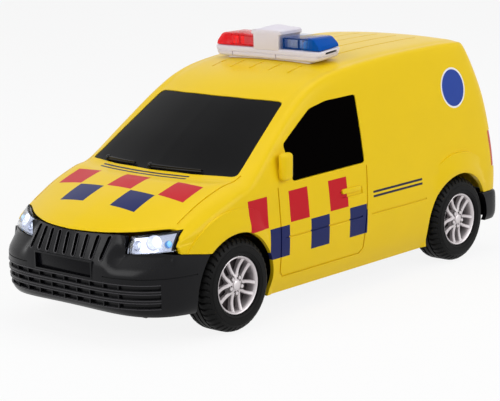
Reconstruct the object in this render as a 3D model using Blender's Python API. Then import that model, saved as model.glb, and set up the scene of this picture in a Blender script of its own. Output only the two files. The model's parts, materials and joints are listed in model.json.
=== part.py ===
"""Remote-control van with steering front wheels and a geared rear axle.

The frame is +X forward, +Y to the driver's left, +Z up, with the origin on the ground under the middle.
Sizes below are millimetres; every mesh is turned into metres as it is finished.
"""
import math

import bmesh
import bpy
from mathutils import Matrix, Vector

for leftover in list(bpy.data.objects):
    bpy.data.objects.remove(leftover, do_unlink=True)

MM = 0.001

# Clearances shared by every pair of neighbours.
GAP = 0.3
RUNNING_GAP = 0.3

# Width of the body at its widest, from which everything on its sides is set in or out.
BODY_HALF_WIDTH = 55.0

# Wheels and axles.
WHEELBASE = 165.0
FRONT_AXLE_X = 74.5
REAR_AXLE_X = FRONT_AXLE_X - WHEELBASE
TYRE_R = 21.1
TYRE_HALF_WIDTH = 8.8
RIM_R = 12.6
WHEEL_Y = BODY_HALF_WIDTH - 7.8
AXLE_Z = TYRE_R
AXLE_R = 1.5
TREAD_BLOCKS = 14

# Body shell.
SILL_Z = 10.9
WALL = 1.8
WINDOW_THICKNESS = 1.3
WINDOW_INSET = 0.25
GROOVE_DEPTH = 0.5
GROOVE_WIDTH = 0.8
ARCH_R = 24.7
ARCH_Z = 20.0
FLARE_R = 31.0
FLARE_Y = BODY_HALF_WIDTH + 1.4
FLARE_LEAN = math.radians(9.0)

# Bumpers.
BUMPER_FRONT_X = 127.0
BUMPER_BACK_X = -127.0
BUMPER_STEP = 0.5
BUMPER_HALF_WIDTH = BODY_HALF_WIDTH + BUMPER_STEP
BUMPER_WALL = 2.4
BUMPER_TOP = 46.7
LAMP_LEDGE_Z = 39.8
GRILLE_SLOTS = 14
GRILLE_HALF_WIDTH = 28.6
LAMP_IN = GRILLE_HALF_WIDTH + 1.6
LAMP_OUT = BUMPER_HALF_WIDTH - 5.9

# Chassis and drive.
PAN_BOTTOM = 11.0
PAN_TOP = 12.8
DECK_Z = PAN_TOP + GAP
PAN_HALF_WIDTH = BODY_HALF_WIDTH - 6.9
GEAR_MODULE = 0.55
DRIVE_TEETH = 26
SMALL_TEETH = 12
BIG_TEETH = 28
PINION_TEETH = 10
MESH_PLAY = 0.2

# Steering.
KINGPIN_Y = WHEEL_Y - 7.2
KINGPIN_R = 1.3
ARM_BACK = 12.0
ARM_IN = 7.0
ARM_PIN_R = 1.2
ROD_THICKNESS = 2.6
RACK_MODULE = 0.8
STEER_TEETH = 12

# Battery bay.
CELL_R = 7.1
CELL_LENGTH = 50.5
CELLS = 4
BAY_CENTRE_X = -10.0

# Light bar.
BAR_X = -17.9
BAR_DEPTH = 15.0
BAR_HALF_LENGTH = 33.6
BAR_LIFT = 1.5
BAR_TRAY_HEIGHT = 3.9
BAR_LENS_HEIGHT = 6.4
BAR_DOME_HEIGHT = 3.4

PARTS = bpy.data.collections.new("rescue_van")
CUTTERS = bpy.data.collections.new("cutters")
bpy.context.scene.collection.children.link(PARTS)
bpy.context.scene.collection.children.link(CUTTERS)

# Finishes: base colour, roughness, metallic.
YELLOW = ((0.83, 0.58, 0.02), 0.28, 0.0)
BLACK = ((0.012, 0.012, 0.014), 0.35, 0.0)
GLASS_BLACK = ((0.006, 0.006, 0.008), 0.12, 0.0)
RUBBER = ((0.014, 0.014, 0.014), 0.75, 0.0)
SILVER = ((0.72, 0.72, 0.74), 0.25, 0.9)
STEEL = ((0.55, 0.55, 0.57), 0.3, 1.0)
WHITE = ((0.85, 0.85, 0.85), 0.35, 0.0)
RED_LENS = ((0.72, 0.02, 0.03), 0.12, 0.0)
BLUE_LENS = ((0.02, 0.10, 0.55), 0.12, 0.0)
CLEAR = ((0.80, 0.86, 0.95), 0.06, 0.0)
CHROME = ((0.82, 0.84, 0.88), 0.10, 1.0)
AMBER_RED = ((0.75, 0.08, 0.02), 0.15, 0.0)
NYLON = ((0.78, 0.76, 0.70), 0.5, 0.0)
GREY = ((0.10, 0.10, 0.11), 0.55, 0.0)
GREEN = ((0.02, 0.16, 0.06), 0.45, 0.0)
COPPER_TOP = ((0.45, 0.22, 0.08), 0.35, 0.7)


def finish(name, colour, roughness, metallic):
    material = bpy.data.materials.new(name + "_finish")
    material.use_nodes = True
    shader = material.node_tree.nodes["Principled BSDF"]
    shader.inputs["Base Color"].default_value = (*colour, 1.0)
    shader.inputs["Roughness"].default_value = roughness
    shader.inputs["Metallic"].default_value = metallic
    material.diffuse_color = (*colour, 1.0)
    return material


def to_object(name, bm, collection, origin=(0.0, 0.0, 0.0)):
    bmesh.ops.recalc_face_normals(bm, faces=bm.faces)
    bmesh.ops.translate(bm, verts=bm.verts, vec=-Vector(origin))
    bmesh.ops.scale(bm, verts=bm.verts, vec=(MM, MM, MM))
    mesh = bpy.data.meshes.new(name)
    bm.to_mesh(mesh)
    bm.free()
    obj = bpy.data.objects.new(name, mesh)
    obj.location = Vector(origin) * MM
    collection.objects.link(obj)
    return obj


def part(name, bm, look, origin=(0.0, 0.0, 0.0), smooth=30.0):
    obj = to_object(name, bm, PARTS, origin)
    obj.data.materials.append(finish(name, *look))
    obj.data.shade_smooth()
    obj.data.set_sharp_from_angle(angle=math.radians(smooth))
    return obj


def cutter(name, *shapes):
    """One hidden tool made of closed shapes that stand apart from each other."""
    whole = shapes[0]
    for shape in shapes[1:]:
        spare = bpy.data.meshes.new("spare")
        bmesh.ops.recalc_face_normals(shape, faces=shape.faces)
        shape.to_mesh(spare)
        shape.free()
        whole.from_mesh(spare)
        bpy.data.meshes.remove(spare)
    obj = to_object(name, whole, CUTTERS)
    obj.hide_render = True
    obj.display_type = "WIRE"
    return obj


def combine(target, tool, operation):
    change = target.modifiers.new(tool.name, "BOOLEAN")
    change.object = tool
    change.operation = operation
    change.solver = "EXACT"
    return target


def cut(target, *tools):
    for tool in tools:
        combine(target, tool, "DIFFERENCE")
    return target


def join(target, *tools):
    for tool in tools:
        combine(target, tool, "UNION")
    return target


def keep(target, tool):
    return combine(target, tool, "INTERSECT")


def box(x0, x1, y0, y1, z0, z1, edge=0.0):
    bm = bmesh.new()
    middle = Vector(((x0 + x1) / 2, (y0 + y1) / 2, (z0 + z1) / 2))
    size = Matrix.Diagonal((x1 - x0, y1 - y0, z1 - z0, 1.0))
    bmesh.ops.create_cube(bm, size=1.0, matrix=Matrix.Translation(middle) @ size)
    if edge:
        bmesh.ops.bevel(bm, geom=bm.edges[:], offset=edge, segments=1, profile=0.5, affect="EDGES")
    return bm


AXIS_TURN = {
    "x": Matrix.Rotation(math.pi / 2, 4, "Y"),
    "y": Matrix.Rotation(-math.pi / 2, 4, "X"),
    "z": Matrix.Identity(4),
}


def rod(axis, centre, radius, low, high, sides=16, end_radius=None):
    """A round bar along an axis from low to high; centre gives the other two coordinates."""
    bm = bmesh.new()
    end_radius = radius if end_radius is None else end_radius
    bmesh.ops.create_cone(
        bm, cap_ends=True, segments=sides, radius1=radius, radius2=end_radius, depth=high - low
    )
    bmesh.ops.translate(bm, verts=bm.verts, vec=(0.0, 0.0, (high + low) / 2))
    bmesh.ops.transform(bm, verts=bm.verts, matrix=AXIS_TURN[axis])
    spot = list(centre)
    spot.insert("xyz".index(axis), 0.0)
    bmesh.ops.translate(bm, verts=bm.verts, vec=spot)
    return bm


def prism(outline, axis, low, high):
    """A flat outline pushed along an axis; the outline lists the other two coordinates in order."""
    bm = bmesh.new()
    place = "xyz".index(axis)
    corners = []
    for pair in outline:
        spot = list(pair)
        spot.insert(place, low)
        corners.append(bm.verts.new(spot))
    base = bm.faces.new(corners)
    grown = bmesh.ops.extrude_face_region(bm, geom=[base])["geom"]
    push = [0.0, 0.0, 0.0]
    push[place] = high - low
    bmesh.ops.translate(bm, verts=[g for g in grown if isinstance(g, bmesh.types.BMVert)], vec=push)
    return bm


def turned(profile, axis, centre, sides):
    """A closed profile of (along, radius) pairs turned round an axis."""
    bm = bmesh.new()
    corners = [bm.verts.new((radius, 0.0, along)) for along, radius in profile]
    edges = [bm.edges.new((a, b)) for a, b in zip(corners, corners[1:] + corners[:1])]
    bmesh.ops.spin(
        bm, geom=corners + edges, cent=(0, 0, 0), axis=(0, 0, 1), angle=math.tau, steps=sides, use_merge=True
    )
    bmesh.ops.remove_doubles(bm, verts=bm.verts, dist=0.0005)
    bmesh.ops.transform(bm, verts=bm.verts, matrix=AXIS_TURN[axis])
    spot = list(centre)
    spot.insert("xyz".index(axis), 0.0)
    bmesh.ops.translate(bm, verts=bm.verts, vec=spot)
    return bm


def skin(rows, closed_rows, capped):
    """Quads between rows of points; rows may close on themselves and the ends may be filled."""
    bm = bmesh.new()
    grid = [[bm.verts.new(p) for p in row] for row in rows]
    count = len(grid[0])
    last = count if closed_rows else count - 1
    for front, back in zip(grid, grid[1:]):
        for k in range(last):
            n = (k + 1) % count
            bm.faces.new((front[k], front[n], back[n], back[k]))
    if capped:
        bm.faces.new(grid[0])
        bm.faces.new(grid[-1])
    return bm


def faceted(bm):
    """Bent quads and end faces split into flat triangles, so that cuts through them stay exact."""
    bm.normal_update()
    bmesh.ops.triangulate(bm, faces=bm.faces, ngon_method="EAR_CLIP")
    return bm


def mirrored(bm):
    """The same shape on the other side of the middle plane."""
    bmesh.ops.scale(bm, verts=bm.verts, vec=(1.0, -1.0, 1.0))
    bmesh.ops.reverse_faces(bm, faces=bm.faces)
    return bm


def sided(bm, side):
    return bm if side > 0 else mirrored(bm)


SIDES = (("left", 1), ("right", -1))


# Body sections from the nose to the tail. Each gives the centre-line x, how far the sides trail behind it,
# the height of the crown, the edge of the bonnet, screen or roof, the rail outside that edge, the waist,
# how much the lower side is narrowed, how far the waist trails behind the roof, and the cheek's lead.
STATIONS = (
    (122.6, 21.8, 47.6, 9.5, 49.9, 6.3, 47.3, 4.8, 43.9, 0.936, 0.0, 7.7),
    (121.5, 21.5, 48.6, 9.5, 50.8, 5.8, 48.0, 4.2, 44.4, 0.945, 0.0, 7.2),
    (113.0, 19.0, 53.8, 9.5, 54.6, 3.9, 51.8, 1.8, 45.6, 0.980, 0.0, 4.4),
    (100.0, 15.5, 59.2, 9.2, 59.6, 2.4, 56.2, 0.2, 47.4, 1.0, 0.0, 1.6),
    (84.0, 11.5, 63.8, 9.1, 64.0, 2.0, 60.6, 0.2, 50.6, 1.0, 0.0, 0.0),
    (70.5, 8.5, 66.6, 9.4, 66.6, 3.0, 64.0, 0.6, 55.0, 1.0, 0.0, 0.0),
    (48.0, 6.0, 81.6, 13.2, 79.9, 6.4, 78.0, 1.5, 59.8, 1.0, 0.0, 0.0),
    (26.0, 4.0, 95.4, 16.8, 93.4, 9.1, 91.4, 2.0, 60.7, 1.0, 0.0, 0.0),
    (9.0, 2.0, 102.8, 16.8, 101.1, 9.7, 98.2, 2.0, 60.8, 1.0, 0.0, 0.0),
    (-11.0, 1.0, 107.0, 16.5, 105.3, 9.8, 102.0, 2.0, 61.0, 1.0, 0.0, 0.0),
    (-45.0, 0.0, 110.0, 15.8, 108.0, 10.0, 104.2, 2.0, 61.0, 1.0, 0.0, 0.0),
    (-86.0, 0.0, 110.9, 15.4, 109.0, 10.0, 105.2, 2.2, 61.0, 1.0, 3.0, 0.0),
    (-106.0, 0.5, 110.2, 15.6, 108.4, 10.6, 104.8, 2.8, 61.0, 0.992, 8.6, 0.0),
    (-110.4, 1.0, 108.6, 17.0, 106.8, 12.2, 103.4, 4.0, 61.0, 0.970, 11.2, 0.0),
)
LAST = len(STATIONS) - 1
TAIL_TOP = 107.0
TAIL_DROP = 60.0
SWEEP_Y = 50.0
CHEEK_DROP = 6.0
EDGE_POINT = 3
LOWER_SIDE = ((0.5, 48.0), (0.0, 36.5), (1.4, 21.0), (4.7, SILL_Z))
ACROSS = (0, 1, 2, 2.5, 3, 3.5, 4, 5, 6, 7, 8, 9, 10)


def half_section(index, inset):
    """Points from the crown down to the sill of one section, moved in by the inset."""
    x, sweep, top, edge_in, edge_z, rail_in, rail_z, belt_in, belt_z, narrow, tail, cheek = STATIONS[index]
    edge_y = BODY_HALF_WIDTH - edge_in
    rail_y = BODY_HALF_WIDTH - rail_in
    belt_y = BODY_HALF_WIDTH - belt_in
    flat = [(edge_y * t, top - (top - edge_z) * t**2.4) for t in (0.0, 0.36, 0.7, 1.0)]
    flat.append((rail_y, rail_z))
    flat.append((rail_y * 0.5 + belt_y * 0.5 + 0.7, rail_z * 0.5 + belt_z * 0.5))
    flat.append((belt_y, belt_z))
    for side_in, z in LOWER_SIDE:
        y = BODY_HALF_WIDTH - side_in
        flat.append((y * narrow, min(z, belt_z - 1.5) if z > 40.0 else z))
    points = []
    for k, (y, z) in enumerate(flat):
        before = flat[max(k - 1, 0)]
        after = flat[min(k + 1, len(flat) - 1)]
        along = Vector((after[0] - before[0], after[1] - before[1]))
        normal = Vector((-along.y, along.x)).normalized()
        if k == 0:
            normal = Vector((0.0, 1.0))
        fall = min(max((TAIL_TOP - z) / TAIL_DROP, 0.0), 1.0)
        trail = tail * (1.0 - (1.0 - fall) ** 2.5)
        lead = cheek * min(max((edge_z - z) / CHEEK_DROP, 0.0), 1.0) if k > EDGE_POINT else 0.0
        spot_x = x - sweep * (y / SWEEP_Y) ** 2 - trail + lead
        if index == 0:
            spot_x -= inset
        if index == LAST:
            spot_x += inset
        points.append(Vector((spot_x, y - normal.x * inset, z - normal.y * inset)))
    return points


def through(a, b, c, d, t):
    """A smooth curve from b to c that heads from a and towards d."""
    bend = 2 * a - 5 * b + 4 * c - d
    twist = 3 * b - a - 3 * c + d
    return 0.5 * (2 * b + (c - a) * t + bend * t**2 + twist * t**3)


def on_curve(points, at):
    top = len(points) - 1
    k = min(int(at), top - 1)
    a = points[max(k - 1, 0)]
    d = points[min(k + 2, top)]
    return through(a, points[k], points[k + 1], d, at - k)


def body_point(u, v, inset=0.0):
    """A point on the left half of the body surface: u counts sections, v runs from the crown to the sill."""
    k = min(int(u), LAST - 1)
    near = [on_curve(half_section(min(max(n, 0), LAST), inset), v) for n in range(k - 1, k + 3)]
    return through(*near, u - k)


def body_solid(inset, per_span, open_reach=0.0):
    """The body as one solid; an open reach carries it on below the sill and ahead of the nose."""
    rows = []
    for step in range(LAST * per_span + 1):
        half = [body_point(step / per_span, v, inset) for v in ACROSS]
        if open_reach:
            half.append(half[-1] - Vector((0.0, 0.0, open_reach)))
        right = [Vector((p.x, -p.y, p.z)) for p in reversed(half[1:])]
        rows.append(right + half)
    if open_reach:
        ahead = STATIONS[0][0] + open_reach
        rows.insert(0, [Vector((ahead, p.y, p.z)) for p in rows[0]])
    bm = skin(rows, True, False)
    bm.verts.ensure_lookup_table()
    count = len(rows[0])
    middle = count // 2
    for first in (0, len(bm.verts) - count):
        row = bm.verts[first:first + count]
        if open_reach and first == 0:
            bm.faces.new(row)
            continue
        for k in range(middle - 1):
            bm.faces.new((row[k], row[k + 1], row[count - 2 - k], row[count - 1 - k]))
        bm.faces.new((row[middle - 1], row[middle], row[middle + 1]))
    faceted(bm)
    return bm


def outline_offset(outline, out):
    """The outline moved outwards by a set distance at its corners (inwards when negative)."""
    moved = []
    area = sum(a[0] * b[1] - b[0] * a[1] for a, b in zip(outline, outline[1:] + outline[:1]))
    turn = 1.0 if area > 0 else -1.0
    for k, here in enumerate(outline):
        here = Vector(here)
        back = (here - Vector(outline[k - 1])).normalized()
        ahead = (Vector(outline[(k + 1) % len(outline)]) - here).normalized()
        n_back = Vector((back.y, -back.x)) * turn
        n_ahead = Vector((ahead.y, -ahead.x)) * turn
        half = (n_back + n_ahead).normalized()
        moved.append(tuple(here + half * out / max(half.dot(n_back), 0.3)))
    return moved


def rounded(outline, radius, steps=2):
    """The outline with each corner replaced by a short arc."""
    smooth = []
    for k, here in enumerate(outline):
        here = Vector(here)
        a = Vector(outline[k - 1]) - here
        b = Vector(outline[(k + 1) % len(outline)]) - here
        reach = min(radius, a.length * 0.45, b.length * 0.45)
        p = here + a.normalized() * reach
        q = here + b.normalized() * reach
        for n in range(steps + 1):
            t = n / steps
            smooth.append(tuple((1 - t) ** 2 * p + 2 * t * (1 - t) * here + t**2 * q))
    return smooth


OUTSIDE = 70.0
ARCH_SIDES = 28
OPEN_REACH = 8.0
SIDE_WINDOW_CORNERS = [(-17.4, 61.2), (34.6, 60.6), (37.0, 77.5), (15.5, 90.6), (4.0, 92.8), (-17.2, 93.2)]
SIDE_WINDOW = rounded(SIDE_WINDOW_CORNERS, 2.6)
SCREEN_FOOT = Vector((63.2, 0.0, 65.5))
SCREEN_FOOT_HALF = BODY_HALF_WIDTH - 9.4
SCREEN_HEAD_HALF = BODY_HALF_WIDTH - 16.6
SCREEN_RISE = 28.0
SCREEN_RUN = 41.5
SCREEN_SLOPE = math.atan2(SCREEN_RISE, SCREEN_RUN)
REAR_FOOT = BODY_HALF_WIDTH - 22.0
REAR_HEAD = BODY_HALF_WIDTH - 25.0
REAR_WINDOW = rounded([(-REAR_FOOT, 66.0), (REAR_FOOT, 66.0), (REAR_HEAD, 94.0), (-REAR_HEAD, 94.0)], 4.0)
TAIL_LAMP_IN = BODY_HALF_WIDTH - 8.6
TAIL_LAMP = rounded([(-126.0, 43.4), (-117.6, 43.4), (-116.8, 61.8), (-126.0, 61.8)], 1.2)
LAMP_FACE = [(LAMP_IN - GAP, 34.0), (LAMP_IN - 0.1, 46.3), (LAMP_OUT - 1.0, 49.7), (LAMP_OUT + 1.0, 34.0)]
BODY_NOSE_CUT = [(80.0, 0.0), (80.0, 37.0), (112.0, 41.6), (112.0, 45.2), (140.0, 45.2), (140.0, 0.0)]
CHEEK_IN = BODY_HALF_WIDTH - 9.5
CHEEK_EDGE = [(103.0, 49.9), (109.4, 40.0), (130.0, 40.0), (130.0, 49.9)]
BODY_TAIL_CUT = [(-140.0, 0.0), (-140.0, 31.3), (-109.6, 31.3), (-108.6, 14.0), (-108.6, 0.0)]


def screen_shape(out, low, high):
    """The windscreen outline as a block square to the glass; low and high are along its normal."""
    slope = Vector((-math.cos(SCREEN_SLOPE), 0.0, math.sin(SCREEN_SLOPE)))
    normal = Vector((slope.z, 0.0, -slope.x))
    length = math.hypot(SCREEN_RISE, SCREEN_RUN)
    half = [(0.0, -6.2), (24.0, -4.6), (SCREEN_FOOT_HALF, -0.4)]
    half += [(SCREEN_HEAD_HALF, length - 0.6), (20.0, length - 3.2), (0.0, length - 4.0)]
    flat = half + [(-y, up) for y, up in reversed(half[1:-1])]
    flat = outline_offset(rounded(flat, 2.4), out)
    rows = []
    for depth in (low, high):
        rows.append([SCREEN_FOOT + slope * up + normal * depth + Vector((0.0, y, 0.0)) for y, up in flat])
    return skin(rows, True, True)


def panel(name, shape, look, thickness=WINDOW_THICKNESS, inset=WINDOW_INSET):
    """A flush pane: the body surface a little way in, trimmed to a shape."""
    pane = part(name, body_solid(inset, 2), look)
    inner = cutter(name + "_back", body_solid(inset + thickness, 2))
    trim = cutter(name + "_trim", shape)
    keep(pane, trim)
    cut(pane, inner)
    return pane


body = part("body_shell", body_solid(0.0, 2), YELLOW)
below_sill = cutter("below_sill", box(-140, 140, -OUTSIDE, OUTSIDE, -30.0, SILL_Z + 0.05))


def arch_flare(x):
    """A ring round the arch that leans in towards the sill with the side of the body."""
    root = FLARE_Y - 12.4
    profile = [(root, ARCH_R - 5.0), (FLARE_Y, ARCH_R - 5.0), (FLARE_Y - 0.2, ARCH_R + 2.4)]
    profile += [(FLARE_Y - 2.2, FLARE_R), (root, FLARE_R)]
    bm = turned(profile, "y", (x, ARCH_Z), ARCH_SIDES)
    crown = (x, FLARE_Y, ARCH_Z + ARCH_R)
    bmesh.ops.rotate(bm, verts=bm.verts, cent=crown, matrix=Matrix.Rotation(-FLARE_LEAN, 3, "X"))
    return bm


flares = cutter("arch_flares", *[
    sided(arch_flare(x), side) for x in (FRONT_AXLE_X, REAR_AXLE_X) for _, side in SIDES
])
cut(flares, below_sill)
join(body, flares)
hollow = cutter("body_hollow", body_solid(WALL, 1, OPEN_REACH))
cut(body, hollow)
arches = cutter("arch_openings", *[
    sided(rod("y", (x, ARCH_Z), ARCH_R, 30.0, OUTSIDE, ARCH_SIDES), side)
    for x in (FRONT_AXLE_X, REAR_AXLE_X) for _, side in SIDES
])
nose_cut = cutter("nose_cut", prism(BODY_NOSE_CUT, "y", -OUTSIDE, OUTSIDE))
tail_cut = cutter("tail_cut", prism(BODY_TAIL_CUT, "y", -OUTSIDE, OUTSIDE))
side_openings = cutter("side_window_openings", *[
    sided(prism(SIDE_WINDOW, "y", 30.0, OUTSIDE), side) for _, side in SIDES
])
screen_opening = cutter("screen_opening", screen_shape(0.0, -14.0, 14.0))
rear_opening = cutter("rear_window_opening", prism(REAR_WINDOW, "x", -140.0, -100.0))
tail_openings = cutter("tail_lamp_openings", *[
    sided(prism(TAIL_LAMP, "y", TAIL_LAMP_IN, OUTSIDE), side) for _, side in SIDES
])
lamp_openings = cutter("headlamp_openings", *[
    sided(prism(outline_offset(LAMP_FACE, GAP), "x", 92.0, 140.0), side) for _, side in SIDES
])
cheek_trim = cutter("cheek_trim", *[
    sided(prism(CHEEK_EDGE, "y", CHEEK_IN, OUTSIDE), side) for _, side in SIDES
])
DOOR_SEAM = [(45.8, 59.4), (45.8, 20.6), (43.6, 18.4), (-12.2, 18.4), (-14.6, 20.6), (-18.8, 59.8)]
DOOR_SEAM += [(-18.0, 59.8), (-13.8, 21.0), (-11.9, 19.2), (43.3, 19.2), (45.0, 20.9), (45.0, 59.4)]
SEAM_BACK_Y = BODY_HALF_WIDTH - 8.2
SEAM_FRONT_Y = BODY_HALF_WIDTH - 9.4
BONNET_SEAM = [(62.0, SEAM_BACK_Y - 0.4), (101.5, SEAM_FRONT_Y - 0.4)]
BONNET_SEAM += [(101.5, SEAM_FRONT_Y + 0.4), (62.0, SEAM_BACK_Y + 0.4)]
WAIST_GROOVES = ((-63.0, -19.6), (-12.8, 42.0))
WAIST_GROOVE_Z = 36.5
HANDLE = (-14.0, -3.5, 48.6, 51.4)
ROOF_RIBS = ((-7.4, 3.0), (-96.0, -29.0))
RIB_SPACING = 12.0
INSIDE = BODY_HALF_WIDTH - 15.0
groove_half = GROOVE_WIDTH / 2
grooves = []
for _, side in SIDES:
    grooves.append(sided(prism(DOOR_SEAM, "y", INSIDE, OUTSIDE), side))
    for low, high in WAIST_GROOVES:
        line = box(low, high, INSIDE, OUTSIDE, WAIST_GROOVE_Z - groove_half, WAIST_GROOVE_Z + groove_half)
        grooves.append(sided(line, side))
    grooves.append(sided(box(HANDLE[0], HANDLE[1], INSIDE, OUTSIDE, HANDLE[2], HANDLE[3]), side))
    grooves.append(sided(prism(BONNET_SEAM, "z", 47.0, 80.0), side))
for k in range(-2, 3):
    middle = k * RIB_SPACING
    for low, high in ROOF_RIBS:
        grooves.append(box(low, high, middle - groove_half, middle + groove_half, 90.0, 120.0))
surface_grooves = cutter("surface_grooves", *grooves)
cut(surface_grooves, cutter("groove_floor", body_solid(GROOVE_DEPTH, 1)))
cut(body, surface_grooves)
cut(body, arches, nose_cut, cheek_trim, tail_cut, below_sill)
cut(body, side_openings, screen_opening, rear_opening, tail_openings, lamp_openings)

panel("windscreen", screen_shape(-GAP, -13.0, 13.0), GLASS_BLACK)
for word, side in SIDES:
    shape = sided(prism(outline_offset(SIDE_WINDOW, -GAP), "y", 34.0, OUTSIDE - 5), side)
    panel(word + "_side_window", shape, GLASS_BLACK)
    shape = sided(prism(outline_offset(TAIL_LAMP, -GAP), "y", TAIL_LAMP_IN + GAP, OUTSIDE - 5), side)
    panel(word + "_tail_lamp", shape, AMBER_RED, 1.4, 0.0)
panel("rear_window", prism(outline_offset(REAR_WINDOW, -GAP), "x", -135.0, -104.0), GLASS_BLACK)
# Front and rear bumpers: a wall swept round the plan curve of the nose or tail.
PATH_STEPS = (1.0, 0.9946, 0.977, 0.94, 0.87, 0.77, 0.64, 0.5, 0.33, 0.17, 0.0)
FRONT_BASE_X = 86.0
BACK_BASE_X = -108.0
FRONT_REACH = BUMPER_FRONT_X - FRONT_BASE_X
BACK_REACH = BACK_BASE_X - BUMPER_BACK_X
FRONT_SQUARE = 4.2
BACK_SQUARE = 7.0
CORNER_POWER = 1.7
LEAN_FROM = 35.0
LEAN_POWER = 1.5
LIP_PROUD = 0.2
CHIN_FROM = 19.0
CHIN_LIFT = 6.0
FRONT_PROFILE = ((BUMPER_TOP, 1.8), (42.0, 1.4), (38.5, 0.8), (34.0, 0.2), (28.0, 0.0), (20.0, 0.5))
FRONT_PROFILE += ((15.6, 1.6), (13.2, 3.2))
BACK_PROFILE = ((31.0, 1.0), (29.0, 0.0), (20.0, 0.0), (16.4, 1.2))


def plan_path(reach, square, path_steps=PATH_STEPS):
    """Half-widths from the wheel arch round to the middle; a larger square gives tighter corners."""
    left = []
    for s in path_steps:
        left.append(Vector((reach * (1.0 - s**square) ** (CORNER_POWER / square), BUMPER_HALF_WIDTH * s)))
    return left + [Vector((p.x, -p.y)) for p in reversed(left[:-1])]


def plan_normals(path):
    normals = []
    for k in range(len(path)):
        along = path[min(k + 1, len(path) - 1)] - path[max(k - 1, 0)]
        normals.append(Vector((-along.y, along.x)).normalized())
    return normals


def lip_x(y):
    return STATIONS[0][0] - STATIONS[0][1] * (y / SWEEP_Y) ** 2


def grille_lean(z):
    return min(max((z - LEAN_FROM) / (BUMPER_TOP - LEAN_FROM), 0.0), 1.0) ** LEAN_POWER


def swept_wall(base_x, facing, path, outer, inner, lip=False):
    """A closed wall between two (height, depth) edges carried round the plan curve.

    With a lip the wall leans back towards the top until it meets the edge of the bonnet.
    """
    rows = []
    for spot, normal in zip(path, plan_normals(path)):
        ring = []
        for side_rows, wall in ((outer, 0.0), (tuple(reversed(inner)), BUMPER_WALL)):
            for z, depth in side_rows:
                at = spot - normal * depth
                x = base_x + facing * at.x
                if lip:
                    x += (lip_x(at.y) + LIP_PROUD - wall - x) * grille_lean(z)
                ring.append((x, at.y, z))
        rows.append(ring)
    return faceted(skin(rows, True, True))


def front_face_x(y):
    share = (abs(y) / BUMPER_HALF_WIDTH) ** FRONT_SQUARE
    return FRONT_BASE_X + FRONT_REACH * (1.0 - share) ** (CORNER_POWER / FRONT_SQUARE)


def slot_outline(middle, low, high, half):
    points = []
    for n in range(5):
        a = math.pi * n / 4
        points.append((middle + half * math.cos(a), high - half + half * math.sin(a)))
    for n in range(5):
        a = math.pi + math.pi * n / 4
        points.append((middle + half * math.cos(a), low + half + half * math.sin(a)))
    return points


SLOT_LOW = 37.2
SLOT_HIGH = BUMPER_TOP - 0.6
SLOT_HALF_WIDTH = 0.95


def slot_cutter(y):
    """A round-ended slot that leans back with the grille."""
    bm = prism(slot_outline(y, SLOT_LOW, SLOT_HIGH, SLOT_HALF_WIDTH), "x", -1.4, 8.0)
    low_x = front_face_x(y) - 0.5
    for vert in bm.verts:
        vert.co.x += low_x + (lip_x(y) + LIP_PROUD - low_x) * grille_lean(vert.co.z)
    return faceted(bm)


def thickened(profile):
    return tuple((z, depth + BUMPER_WALL) for z, depth in profile)


INNER_FRONT = thickened(FRONT_PROFILE[k] for k in (0, 2, 3, 5, 7))
front_path = plan_path(FRONT_REACH, FRONT_SQUARE)
front_wall = swept_wall(FRONT_BASE_X, 1, front_path, FRONT_PROFILE, INNER_FRONT, True)
for vert in front_wall.verts:
    low = max(CHIN_FROM - vert.co.z, 0.0) / CHIN_FROM
    vert.co.z += CHIN_LIFT * low * (1.0 - (vert.co.y / BUMPER_HALF_WIDTH) ** 2)
front_bumper = part("front_bumper", front_wall, BLACK)
FENDER_X, FENDER_Z = BODY_NOSE_CUT[2]
SIDE_TOP = [(70.0, 35.1), (FENDER_X, FENDER_Z - GAP), (FENDER_X, 60.0), (70.0, 60.0)]
bumper_top_cut = cutter("bumper_top_cut", prism(SIDE_TOP, "y", -OUTSIDE, OUTSIDE))
LEDGE_IN = GRILLE_HALF_WIDTH + 1.0
lamp_ledges = cutter("lamp_ledges", *[
    sided(box(90.0, 140.0, LEDGE_IN, OUTSIDE, LAMP_LEDGE_Z, 60.0), side) for _, side in SIDES
])
slot_pitch = 2 * GRILLE_HALF_WIDTH / (GRILLE_SLOTS + 0.6)
grille_slots = cutter("grille_slots", *[
    slot_cutter((k - (GRILLE_SLOTS - 1) / 2) * slot_pitch) for k in range(GRILLE_SLOTS)
])
PLATE_HALF_WIDTH = 18.0
PLATE_DEPTH = 1.2
plate_back = BUMPER_FRONT_X - PLATE_DEPTH
plate_place = box(plate_back, 140.0, -PLATE_HALF_WIDTH, PLATE_HALF_WIDTH, 29.2, 36.6)
plate_recess = cutter("plate_recess", plate_place)
SLAT_STEPS = (0.80, 0.74, 0.64, 0.5, 0.33, 0.17, 0.0)
SLAT_HEIGHTS = (26.4, 22.8, 19.2, 15.6)
slat_path = plan_path(FRONT_REACH, FRONT_SQUARE, SLAT_STEPS)
slat_grooves = []
for z in SLAT_HEIGHTS:
    behind = ((z + 0.8, -3.0), (z - 0.8, -3.0))
    ahead = ((z + 0.5, 1.5), (z - 0.8, 1.5))
    slat_grooves.append(swept_wall(FRONT_BASE_X, 1, slat_path, behind, ahead))
slats = cutter("lower_slats", *slat_grooves)
SHELF_IN = GRILLE_HALF_WIDTH + 1.4
SHELF_BACK_X = 101.0
SHELF = [(SHELF_BACK_X, SHELF_IN), (SHELF_BACK_X, LAMP_OUT)]
for t in (0.0, 0.18, 0.44, 0.74, 1.0):
    y = LAMP_OUT + (SHELF_IN - LAMP_OUT) * t
    SHELF.append((front_face_x(y) - 2.0, y))
shelves = cutter("lamp_shelves", *[
    sided(prism(SHELF, "z", LAMP_LEDGE_Z - 2.0, LAMP_LEDGE_Z - 0.4), side) for _, side in SIDES
])
join(front_bumper, shelves)
cut(front_bumper, arches, bumper_top_cut, lamp_ledges, grille_slots, plate_recess, slats)

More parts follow.
